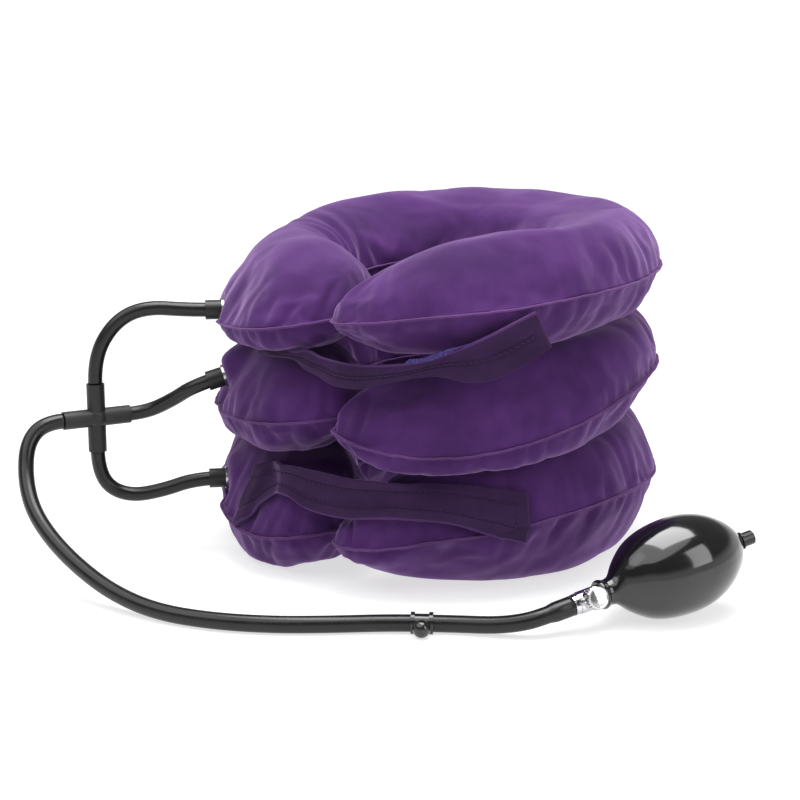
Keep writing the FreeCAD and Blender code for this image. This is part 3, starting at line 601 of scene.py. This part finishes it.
# gathers off the outer seam: on the upper panel or not, spacing, reach and depth in millimetres
OUTER_PUCKERS = ((True, 8.5, 30, 3.0), (False, 7.5, 24, 3.0))
# long folds on the top tier behind its left lobe: azimuth at the crown, lean, width and depth
TOP_FOLDS = ((174, 9, 2.6, 1.9), (181, 10, 2.2, 1.6), (189, 9, 3.0, 1.2), (166, 6, 3.2, 0.8))


def tier_relief(tier, azimuth, theta, grid, above):
    """How far each point stands off the smooth form: puckers, long folds and soft waves."""
    draw = np.random.default_rng(TIERS[tier]["seed"])
    outer, inner = seam_distances(grid)
    arc = np.radians(azimuth)
    relief = np.zeros(grid.shape[:2])
    for on_top, spacing, reach, depth in OUTER_PUCKERS:
        drawn = puckers(arc * (RING + HALF), outer, draw, spacing * MM, reach * MM, depth * MM)
        drawn = drawn + puckers(arc * (RING + HALF), outer, draw, 4.6 * MM, 14 * MM, 1.6 * MM)
        drawn = drawn + puckers(arc * (RING - HALF), inner, draw, 6.5 * MM, 26 * MM, 2.4 * MM)
        relief = relief + np.where(above == on_top, drawn, 0)
    waves = np.zeros_like(relief)
    for _ in range(9):
        turns, rolls = draw.integers(3, 17), draw.integers(1, 4)
        phase, roll = draw.uniform(0, 2 * math.pi, 2)
        waves += np.cos(turns * arc[:, None] + phase) * np.cos(rolls * theta[None, :] + roll)
    relief = relief + 0.20 * MM * waves
    if tier == "top":
        crown = theta[None, :] - math.pi / 2
        for at, lean, width, deep in TOP_FOLDS:
            across = (azimuth[:, None] - at - lean * crown) * math.radians(1) * RING
            fade = np.exp(-((crown - 0.75) / 0.7) ** 2)
            relief -= deep * MM * fade * np.exp(-(across / (width * MM)) ** 2)
            beside = across + 1.9 * width * MM
            relief += 0.55 * deep * MM * fade * np.exp(-(beside / (1.4 * width * MM)) ** 2)
    slim = np.clip(np.minimum(arc - arc[0], arc[-1] - arc) * RING / (14 * MM), 0, 1)
    relief = relief * (0.25 + 0.75 * slim[:, None])
    seam = np.minimum(outer, inner)
    return relief * np.clip(seam / (1.5 * MM), 0, 1)


def meet_port(tier, grid):
    """Draws the skin out or in to the back of its eyelet's lip."""
    azimuth, pitch, height, radius = PORTS[tier]
    angle, fall = math.radians(azimuth), math.radians(pitch)
    flat = np.array((math.cos(angle), math.sin(angle), 0))
    face = flat * radius + np.array((0, 0, height))
    out = flat * math.cos(fall) - np.array((0, 0, math.sin(fall)))
    apart = grid - face
    depth = apart @ out
    beside = np.linalg.norm(apart - depth[..., None] * out, axis=2)
    share = np.exp(-(beside / (13 * MM)) ** 4) * (depth > -30 * MM)
    return grid + (share * (-0.1 * MM - depth))[..., None] * out


def tier_surface(tier):
    """The finished outer surface of a tier."""
    azimuth, theta, grid, above = tier_form(tier)
    grid = press(tier, grid + SIT, above, 9 * MM)
    grid = meet_port(tier, grid)
    relief = tier_relief(tier, azimuth, theta, grid, above)
    grid = grid + grid_normals(grid) * relief[..., None]
    grid = meet_port(tier, inflate(tier, grid))
    return press(tier, grid, above, 0)


# ---------------------------------------------------------------- cloth

CLOTH_FRAMES = 14
CLOTH_CAP = 4 * MM


def inflate(tier, grid):
    """Cloth pass: the panels hold more cloth than their seams, and the air presses it out."""
    rows, columns = grid.shape[:2]
    faces = grid_faces(rows, columns, True)
    piece = mesh_piece("cloth_blank", grid.reshape(-1, 3), faces, MATERIALS["velvet"])
    held = piece.vertex_groups.new(name="held")
    half = COLUMNS // 2
    seams = [i * columns + j for i in range(rows) for j in (0, half)]
    ends = [i * columns + j for i in (0, 1, rows - 2, rows - 1) for j in range(columns)]
    held.add(sorted(set(seams + ends)), 1.0, "REPLACE")
    modifier = piece.modifiers.new("cloth", "CLOTH")
    settings = modifier.settings
    settings.quality = 5
    settings.mass = 0.15
    settings.tension_stiffness = 25
    settings.compression_stiffness = 12
    settings.shear_stiffness = 8
    settings.bending_stiffness = 0.35
    settings.shrink_min = -0.032
    settings.use_pressure = True
    settings.uniform_pressure_force = 3.0
    settings.vertex_group_mass = "held"
    settings.effector_weights.gravity = 0
    modifier.collision_settings.use_collision = False
    modifier.collision_settings.use_self_collision = False
    scene = bpy.context.scene
    modifier.point_cache.frame_start = 1
    modifier.point_cache.frame_end = CLOTH_FRAMES
    for number in range(1, CLOTH_FRAMES + 1):
        scene.frame_set(number)
    solved = piece.evaluated_get(bpy.context.evaluated_depsgraph_get())
    moved = np.array([v.co for v in solved.data.vertices]).reshape(grid.shape)
    scene.frame_set(1)
    bpy.data.objects.remove(piece)
    # the pile rounds the folds, and they fade away from the seams
    shift = moved - grid
    shift = (np.roll(shift, 1, axis=1) + 2 * shift + np.roll(shift, -1, axis=1)) / 4
    shift[1:-1] = (shift[:-2] + 2 * shift[1:-1] + shift[2:]) / 4
    seam = np.minimum(*seam_distances(grid))[..., None]
    shift = shift * (0.5 + 0.5 * np.exp(-(seam / (22 * MM)) ** 2))
    size = np.linalg.norm(shift, axis=2, keepdims=True)
    return grid + shift * np.minimum(1, CLOTH_CAP / np.maximum(size, 1e-9))


# ---------------------------------------------------------------- the tiers' pieces


def face_outward(piece):
    mesh = piece.data
    volume = sum(p.center.dot(p.normal) * p.area for p in mesh.polygons)
    if volume < 0:
        mesh.flip_normals()


def panel(tier, name, grid, normals, columns, thickness):
    """One velvet panel with its thickness: an outer and an inner skin joined at the seam."""
    outer = grid[:, columns]
    inner = outer - normals[:, columns] * thickness
    # the skins meet the seam in one edge
    ring = np.concatenate([outer, inner[:, ::-1]], axis=1)
    piece = capped_tube(f"{tier}_{name}_panel", ring, MATERIALS["velvet"])
    face_outward(piece)
    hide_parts(f"{tier}_{name}_cover")
    return piece


def even_loop(points, step):
    """A closed loop's points again, evenly spaced."""
    closed = np.concatenate([points, points[:1]])
    along = lengths_along(closed)
    count = int(along[-1] / step)
    at = np.linspace(0, along[-1], count, endpoint=False)
    return np.stack([np.interp(at, along, closed[:, k]) for k in range(3)], axis=1)


def welt(tier, grid):
    """The folded edge that stands out all round the seam."""
    half = COLUMNS // 2
    loop = np.concatenate([grid[:, 0], grid[::-1, half]])
    loop = even_loop(loop, 1.3 * MM)
    ahead = unit(np.roll(loop, -1, axis=0) - np.roll(loop, 1, axis=0))
    out = unit(np.cross(ahead, (0, 0, 1)))
    for _ in range(6):
        out = (np.roll(out, 1, axis=0) + out + np.roll(out, -1, axis=0)) / 3
    over = np.cross(out, ahead)
    draw = np.random.default_rng(TIERS[tier]["seed"] + 20)
    steps = np.tile(draw.normal(0, 1, len(loop)), 3)
    wobble = np.convolve(steps, np.ones(5) / 5, "same")[len(loop):2 * len(loop)]
    angles = np.linspace(0, 2 * math.pi, 10, endpoint=False)
    rings = []
    for n, point in enumerate(loop):
        middle = point + out[n] * 0.5 * MM + over[n] * wobble[n] * 0.22 * MM
        rings.append(middle + np.outer(np.cos(angles) * (1.15 + 0.2 * wobble[n]) * MM, out[n])
                     + np.outer(np.sin(angles) * 0.6 * MM, over[n]))
    faces = grid_faces(len(rings), len(angles), True, True)
    piece = mesh_piece(f"{tier}_welt", np.concatenate(rings), faces, MATERIALS["welt"])
    face_outward(piece)
    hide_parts(f"{tier}_seam_welt")
    return piece


def bladder(tier, grid):
    """The air bladder, a little inside the panels."""
    middle = grid.mean(axis=1, keepdims=True)
    inside = middle + (grid - middle) * 0.86
    width = np.linalg.norm(grid[:, 0] - grid[:, COLUMNS // 2], axis=1)
    rows = np.where(width > 45 * MM)[0]
    piece = capped_tube(f"{tier}_air_bladder", inside[rows[0]:rows[-1] + 1:2, ::2], MATERIALS["latex"])
    face_outward(piece)
    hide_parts(f"{tier}_bladder")
    return piece


SURFACES = {}


def settle(piece, body):
    """The piece rides on a body, with a mesh of its own."""
    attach(piece, body)
    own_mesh(piece)


def make_tier(tier):
    spec = TIERS[tier]
    grid = tier_surface(tier)
    normals = grid_normals(grid)
    half = COLUMNS // 2
    panels = [
        panel(tier, "upper", grid, normals, list(range(0, half + 1)), 1.2 * MM),
        panel(tier, "lower", grid, normals, list(range(half, COLUMNS)) + [0], 1.2 * MM),
    ]
    SURFACES[tier] = grid
    for piece in panels + [welt(tier, grid), bladder(tier, grid)]:
        settle(piece, spec["body"])


for each in TIERS:
    make_tier(each)

# ---------------------------------------------------------------- straps

# edges of the straps: azimuth in degrees, radius and height in millimetres
UPPER_TOP = ((-127, 110, 117.5), (-119, 111, 119.5), (-109, 111.5, 121.8), (-102.5, 112, 124),
             (-97, 113, 122), (-90, 115.5, 121), (-81, 120, 122), (-71, 123, 125),
             (-62, 123.5, 131), (-54, 124.5, 138.5), (-47, 125.5, 146), (-42.5, 126, 150.5))
UPPER_LOW = ((-127, 110, 116), (-119, 111, 117.3), (-109, 111.5, 118.8), (-102.5, 112, 114.8),
             (-97, 114, 113), (-91, 117.5, 110), (-84, 121, 110.5), (-76, 122, 115.5),
             (-66, 121, 119.5), (-57, 122, 116), (-49, 123, 119.5), (-38, 124.5, 132.5))
# the lower strap lies on the bottom tier, so its edges have only an azimuth and a height
LOWER_TOP = ((-128, 53), (-123, 56.5), (-118, 59.5), (-111.5, 61.5), (-105.5, 63), (-101, 63), (-96, 63),
             (-88, 62), (-81, 62), (-74, 61.5), (-63, 61), (-52, 59), (-42, 56))
LOWER_LOW = ((-125, 23), (-120, 31), (-116.5, 40), (-111.5, 46.5), (-105.5, 47), (-101.5, 43.5),
             (-96, 41.5), (-88, 41), (-81, 43), (-74, 45), (-63, 44), (-52, 37), (-43, 30.5))
STRAP, STRAP_HEM, TAPE_HEM = 1.2 * MM, 5.5 * MM, 1.2 * MM


def smooth_line(knots, count):
    """A smooth line through a few knots of any number of values, by Catmull-Rom pieces."""
    knots = np.array(knots, float)
    padded = np.concatenate([[2 * knots[0] - knots[1]], knots, [2 * knots[-1] - knots[-2]]])
    places = np.linspace(0, len(knots) - 1 - 1e-9, count)
    values = []
    for place in places:
        n, t = int(place), place - int(place)
        a, b, c, d = padded[n:n + 4]
        values.append(0.5 * (2 * b + (c - a) * t + (2 * a - 5 * b + 4 * c - d) * t * t
                             + (3 * b - a - 3 * c + d) * t ** 3))
    return np.array(values)


def round_place(values):
    """Azimuth, radius and height, as a point in metres."""
    angle = np.radians(values[..., 0])
    radius, z = values[..., 1] * MM, values[..., 2] * MM
    return np.stack([radius * np.cos(angle), radius * np.sin(angle), z], axis=-1)


def outward_of(points):
    return unit(points * (1, 1, 0))


def strip_normals(points):
    normal = np.cross(np.gradient(points, axis=0), np.gradient(points, axis=1))
    normal /= np.maximum(np.linalg.norm(normal, axis=2, keepdims=True), 1e-12)
    flip = np.sign((normal * outward_of(points)).sum(axis=2, keepdims=True))
    return normal * np.where(flip == 0, 1, flip)


def cloth_strip(name, points, thickness, material, hem):
    """A strip with its thickness and a turned hem along its edges, from a grid of points."""
    rows, columns = points.shape[:2]
    normal = strip_normals(points)
    across = lengths_along(points[rows // 2])
    along = lengths_along(points[:, columns // 2])
    edge = np.minimum(np.minimum(across, across[-1] - across)[None, :], (along[-1] - along)[:, None])
    fold = np.clip((hem - edge) / (0.8 * MM), 0, 1) * 0.45 * MM
    dip = -0.25 * MM * np.exp(-((edge - hem) / (0.7 * MM)) ** 2)
    swell = (fold + dip)[..., None]
    outer = points + normal * (thickness / 2 + swell)
    inner = points - normal * (thickness / 2 + swell * 0.5)
    corners = np.concatenate([outer.reshape(-1, 3), inner.reshape(-1, 3)])
    offset = rows * columns
    faces = grid_faces(rows, columns, False)
    faces += [tuple(offset + n for n in reversed(face)) for face in faces]
    rim = list(range(columns)) + [i * columns + columns - 1 for i in range(1, rows)]
    rim += [(rows - 1) * columns + j for j in range(columns - 2, -1, -1)]
    rim += [i * columns for i in range(rows - 2, 0, -1)]
    for a, b in zip(rim, rim[1:] + rim[:1]):
        faces.append((a, b, offset + b, offset + a))
    piece = mesh_piece(name, corners, faces, material)
    recalculate_outward(piece)
    return piece, normal


def recalculate_outward(piece):
    """Makes a closed mesh's faces agree and point out."""
    work = bmesh.new()
    work.from_mesh(piece.data)
    bmesh.ops.recalc_face_normals(work, faces=work.faces)
    work.to_mesh(piece.data)
    work.free()


STITCH_PITCH, STITCH_LENGTH = 3.1 * MM, 2.1 * MM
STITCH_WIDTH, STITCH_HEIGHT = 0.34 * MM, 0.28 * MM


def stitches(name, points, normal, inset, lift):
    """Short stitches in a line inside a strip's edges: along one side, round the end and back."""
    rows, columns = points.shape[:2]
    across = lengths_along(points[rows // 2])
    along = lengths_along(points[:, columns // 2])
    j0 = int(np.argmin(np.abs(across - inset)))
    j1 = columns - 1 - j0
    i1 = int(np.argmin(np.abs(along - (along[-1] - inset))))
    path = [(i, j0) for i in range(1, i1 + 1)] + [(i1, j) for j in range(j0, j1 + 1)]
    path += [(i, j1) for i in range(i1, 0, -1)]
    line = np.array([points[i, j] + normal[i, j] * lift for i, j in path])
    out = np.array([normal[i, j] for i, j in path])
    reach = lengths_along(line)
    corners, faces = [], []
    ring = np.linspace(0, 2 * math.pi, 6, endpoint=False)
    for start in np.arange(1 * MM, reach[-1] - 3 * MM, STITCH_PITCH):
        spots = (start, start + STITCH_LENGTH)
        ends = np.array([[np.interp(spot, reach, line[:, k]) for k in range(3)] for spot in spots])
        up = out[int(np.argmin(np.abs(reach - start)))]
        ahead = ends[1] - ends[0]
        ahead = ahead / max(np.linalg.norm(ahead), 1e-9)
        side = np.cross(up, ahead)
        base = len(corners)
        for share, wide in ((0.0, 0.35), (0.2, 1.0), (0.8, 1.0), (1.0, 0.35)):
            middle = ends[0] + (ends[1] - ends[0]) * share
            for angle in ring:
                corners.append(middle + side * math.cos(angle) * STITCH_WIDTH * wide
                               + up * math.sin(angle) * STITCH_HEIGHT * wide)
        faces += [tuple(base + n for n in face) for face in grid_faces(4, 6, True)]
        faces.append(tuple(base + n for n in range(5, -1, -1)))
        faces.append(tuple(base + 18 + n for n in range(6)))
    return mesh_piece(name, corners, faces, MATERIALS["thread"])


def strap_grid(top_knots, low_knots, rows, columns):
    """A grid of values between a strap's two edges, and the shares along and across it."""
    across = np.linspace(0, 1, columns)[None, :]
    share = across[..., None]
    top = smooth_line(top_knots, rows)[:, None, :]
    low = smooth_line(low_knots, rows)[:, None, :]
    return top * (1 - share) + low * share, np.linspace(0, 1, rows)[:, None], across


def strap_cloth(side, points):
    """The strap itself, and its normals."""
    velvet_strap = MATERIALS["velvet_strap"]
    strap, normal = cloth_strip(f"{side}_fastening_strap", points, STRAP, velvet_strap, STRAP_HEM)
    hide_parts(f"{side}_strap")
    return strap, normal


def strap_trim(side, points, normal, tape_points, tape_thickness, edge, edge_radius):
    """The hook tape, the stitching and the piped edge."""
    hooks = MATERIALS["hook_tape"]
    tape, _ = cloth_strip(f"{side}_strap_hook_tape", tape_points, tape_thickness, hooks, TAPE_HEM)
    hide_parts(f"{side}_hook_tape")
    sewing = stitches(f"{side}_strap_stitching", points, normal, 6.2 * MM, 0.75 * MM)
    piping = tube(f"{side}_strap_piping", edge, np.full(len(edge), edge_radius), MATERIALS["piping"], 12)
    return [sewing, tape, piping]


def upper_strap():
    rows = 150
    values, along, across = strap_grid(UPPER_TOP, UPPER_LOW, rows, 34)
    points = round_place(values)
    # the strap hangs slack: it bellies a little, with soft waves along it
    belly = 1.3 * np.sin(math.pi * across) * np.sin(math.pi * along) ** 0.5
    wave = 0.8 * np.sin(17 * along + 2.0 * across) * across
    wave = wave + 0.5 * np.sin(41 * along + 4 * across) * (1 - along)
    points = points + outward_of(points) * ((belly + wave) * MM)[..., None]
    strap, normal = strap_cloth("upper", points)
    # the tape lies on the strap's inner side, and its near end stands above the strap's edge
    first, last, inner = int(rows * 0.61), rows - 6, 1.15 * MM
    edge_out = unit(points[first:last, 0] - points[first:last, 1])
    lift = np.interp(np.linspace(0, 1, last - first), (0, 0.25, 0.5, 1), (6.8, 5.5, 1, -1.5)) * MM
    behind = points[first:last] - normal[first:last] * inner
    lean = outward_of(behind[:, 0]) * 0.6 * np.clip(lift, 0, None)[:, None]
    top = behind[:, 0] + edge_out * lift[:, None] + lean
    ratio = np.linspace(0, 1, 20)[None, :, None]
    tape_points = top[:, None] * (1 - ratio) + behind[:, 24][:, None] * ratio
    edge = points[:, 0] + normal[:, 0] * 0.2 * MM
    trim = strap_trim("upper", points, normal, tape_points, 0.8 * MM, edge, 1.0 * MM)
    for piece in [strap] + trim:
        settle(piece, "upper_strap")
    return strap, trim, points


def surface_tree(tier):
    grid = SURFACES[tier]
    faces = grid_faces(grid.shape[0], grid.shape[1], True)
    return BVHTree.FromPolygons([tuple(p) for p in grid.reshape(-1, 3)], faces)


# where the lower strap spans the gap between the arms: radius in millimetres, azimuths in degrees
SPAN_RADIUS, SPAN_START, SPAN_CURVE = 115, -72, -110


def lie_on(tree, values, gap, blur):
    """Radii that lay a strip of (azimuth, height) on a surface, bridging its small hollows."""
    radii = np.zeros(values.shape[:2])
    for i in range(values.shape[0]):
        for j in range(values.shape[1]):
            angle = math.radians(values[i, j, 0])
            out = Vector((math.cos(angle), math.sin(angle), 0.0))
            start = out * 0.16 + Vector((0, 0, values[i, j, 1] * MM))
            hit = tree.ray_cast(start, -out, 0.12)[0]
            radii[i, j] = hit.xy.length if hit else np.nan
    filled = np.where(np.isnan(radii), np.nanmin(radii), radii)
    # it spans the gap between the arms, and curves in over the left arm
    azimuth = values[..., 0]
    span = SPAN_RADIUS - np.clip(SPAN_CURVE - azimuth, 0, None)
    filled = np.where(azimuth < SPAN_START, np.maximum(filled, span * MM), filled)
    highest = filled.copy()
    for _ in range(blur):
        spread = np.pad(highest, 1, mode="edge")
        around = [spread[a:a + filled.shape[0], b:b + filled.shape[1]] for a in range(3) for b in range(3)]
        highest = np.maximum(filled, sum(around) / 9)
    return highest + gap


def lower_strap():
    rows = 150
    values, along, across = strap_grid(LOWER_TOP, LOWER_LOW, rows, 40)
    radii = lie_on(surface_tree("bottom"), values, 2.6 * MM, 12)
    angle = np.radians(values[..., 0])
    points = np.stack([radii * np.cos(angle), radii * np.sin(angle), values[..., 1] * MM], axis=-1)
    wave = 0.9 * np.sin(15 * along + 3 * across) * across ** 1.5 + 0.9 * across ** 3
    points = points + outward_of(points) * ((wave + 0.2) * MM)[..., None]
    strap, normal = strap_cloth("lower", points)
    under = slice(int(rows * 0.72), rows - 6), slice(8, -8)
    tape_points = points[under] - normal[under] * 1.1 * MM
    edge = points[:, -1] + normal[:, -1] * 0.3 * MM
    trim = strap_trim("lower", points, normal, tape_points, 0.7 * MM, edge, 0.8 * MM)
    for piece in [strap] + trim:
        settle(piece, "lower_strap")
    return strap, trim, points


for make, host in ((upper_strap, "top_lower_panel"), (lower_strap, "bottom_upper_panel")):
    strap, on_it, points = make()

# ---------------------------------------------------------------- the pump

PUMP_AZIMUTH, PUMP_RISE = math.radians(54), math.radians(11)
PUMP_AXIS = np.array((math.cos(PUMP_AZIMUTH) * math.cos(PUMP_RISE),
                      math.sin(PUMP_AZIMUTH) * math.cos(PUMP_RISE), math.sin(PUMP_RISE)))
BULB_CENTRE = np.array((164.5, -67.5, 25.4)) * MM
# the release screw stands across the valve, turned up by 24 degrees
SCREW_TURN = math.radians(24)
SCREW_FOOT = BULB_CENTRE - 54 * MM * PUMP_AXIS


def turned(name, foot, axis, line, material, ridges=()):
    """A closed line of (distance along the axis, radius) turned about the axis."""
    side = unit(np.cross(axis, (0, 0, 1)))
    over = np.cross(side, axis)
    around = 128
    angles = np.linspace(0, 2 * math.pi, around, endpoint=False)
    ridge = sum((np.exp(-(np.angle(np.exp(1j * (angles - at))) / 0.018) ** 2) for at in ridges),
                np.zeros(around))
    rings = []
    for ahead, radius in line:
        reach = radius + 0.10 * MM * ridge * (radius > 8 * MM)
        rings.append(foot + axis * ahead + np.outer(np.cos(angles) * reach, side)
                     + np.outer(np.sin(angles) * reach, over))
    piece = mesh_piece(name, np.concatenate(rings), grid_faces(len(rings), around, True, True), material)
    recalculate_outward(piece)
    return piece, side


def bulb():
    """The squeeze bulb: neck bead, shoulder, belly and rear boss, with a faint parting line."""
    # distance ahead of the bulb's centre, and radius, in millimetres
    profile = ((-46.6, 4.02), (-46.6, 6.6), (-46.2, 7.2), (-45.2, 7.5), (-44.0, 7.3), (-42.6, 6.7),
               (-40.5, 6.7), (-38.2, 7.4), (-35.6, 9.5), (-32.3, 12.9), (-28, 16.5), (-22.5, 20.1),
               (-16, 22.6), (-8.5, 24.1), (0, 24.7), (8, 24.2), (15.5, 22.4), (22, 19.6),
               (28, 15.6), (32.4, 11.6), (35.2, 8.0), (36.6, 5.6), (37.2, 4.6), (37.6, 3.72))
    outer = smooth_line(profile, 150) * MM
    inner = outer[::-1][2:-2:6]
    inner = np.stack([np.clip(inner[:, 0], -44 * MM, 35 * MM),
                      np.maximum(inner[:, 1] - 2.2 * MM, 3.75 * MM)], axis=1)
    line = np.concatenate([outer, inner])
    piece, side = turned("squeeze_bulb", BULB_CENTRE, PUMP_AXIS, line, MATERIALS["bulb_rubber"],
                         (0, math.pi))
    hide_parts("bulb")
    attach(piece, "base")
    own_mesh(piece)


def thumbscrew_face():
    """The polished dome inside the thumbscrew's rim."""
    level = unit(np.cross(PUMP_AXIS, (0, 0, 1)))
    over = np.cross(level, PUMP_AXIS)
    axis = level * math.cos(SCREW_TURN) + over * math.sin(SCREW_TURN)
    profile = ((14.6, 0.02), (14.6, 5.1), (15.1, 5.15), (15.25, 4.95), (15.1, 4.7), (14.95, 4.5),
               (15.0, 4.25), (15.14, 3.3), (15.25, 2.2), (15.32, 1.1), (15.34, 0.02))
    line = smooth_line(profile, 90) * MM
    piece, _ = turned("thumbscrew_face", SCREW_FOOT, axis, line, MATERIALS["valve_chrome"])
    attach(piece, "release_knob")


bulb()
thumbscrew_face()

# ---------------------------------------------------------------- stage


def stage():
    size = 60.0
    material, shader = new_material("floor", grey(0.4), 0.5, Specular_IOR_Level=0.2,
                                    Emission_Color=(1, 1, 1, 1), Emission_Strength=0.66)
    shade = ramp(material, noise(material, 3.0, 2), ((0.3, grey(0.39)), (0.7, grey(0.41))))
    material.node_tree.links.new(shade, shader.inputs["Base Color"])
    corners = [(x * size, y * size, -0.2 * MM) for x, y in ((-1, -1), (1, -1), (1, 1), (-1, 1))]
    floor = mesh_piece("floor", corners, [(0, 1, 2, 3)], material)
    # the room is white near the floor and dimmer overhead
    world = bpy.data.worlds.new("studio")
    world.use_nodes = True
    nodes, links = world.node_tree.nodes, world.node_tree.links
    height = nodes.new("ShaderNodeSeparateXYZ")
    links.new(nodes.new("ShaderNodeTexCoord").outputs["Generated"], height.inputs["Vector"])
    shade = ramp(world, height.outputs["Z"], ((0.0, grey(1.0)), (0.34, grey(0.2)), (0.16, grey(0.95))))
    links.new(shade, nodes["Background"].inputs["Color"])
    bpy.context.scene.world = world
    bpy.context.scene.view_settings.view_transform = "Standard"
    # name, place, aimed at, width, height, power
    lamps = (
        ("overhead", (0.05, 0.1, 1.3), (0, 0, 0.05), 1.0, 0.8, 17.5),
        ("key", (-0.75, -1.0, 1.25), (0, 0, 0.1), 0.7, 0.7, 1.2),
        ("side", (1.25, -0.2, 0.7), (0.05, -0.05, 0.08), 0.5, 0.9, 5.5),
    )
    for name, place, aim, width, height, power in lamps:
        data = bpy.data.lights.new(name, "AREA")
        data.shape = "RECTANGLE"
        data.size, data.size_y, data.energy = width, height, power
        lamp = link(name, data)
        lamp.location = place
        lamp.rotation_euler = (Vector(aim) - Vector(place)).to_track_quat("-Z", "Y").to_euler()
    sky = bpy.data.lights.new("sky", "SUN")
    sky.energy = 2.4
    sky.angle = math.radians(75)
    link("sky", sky).rotation_euler = (math.radians(12), math.radians(-10), 0)


stage()
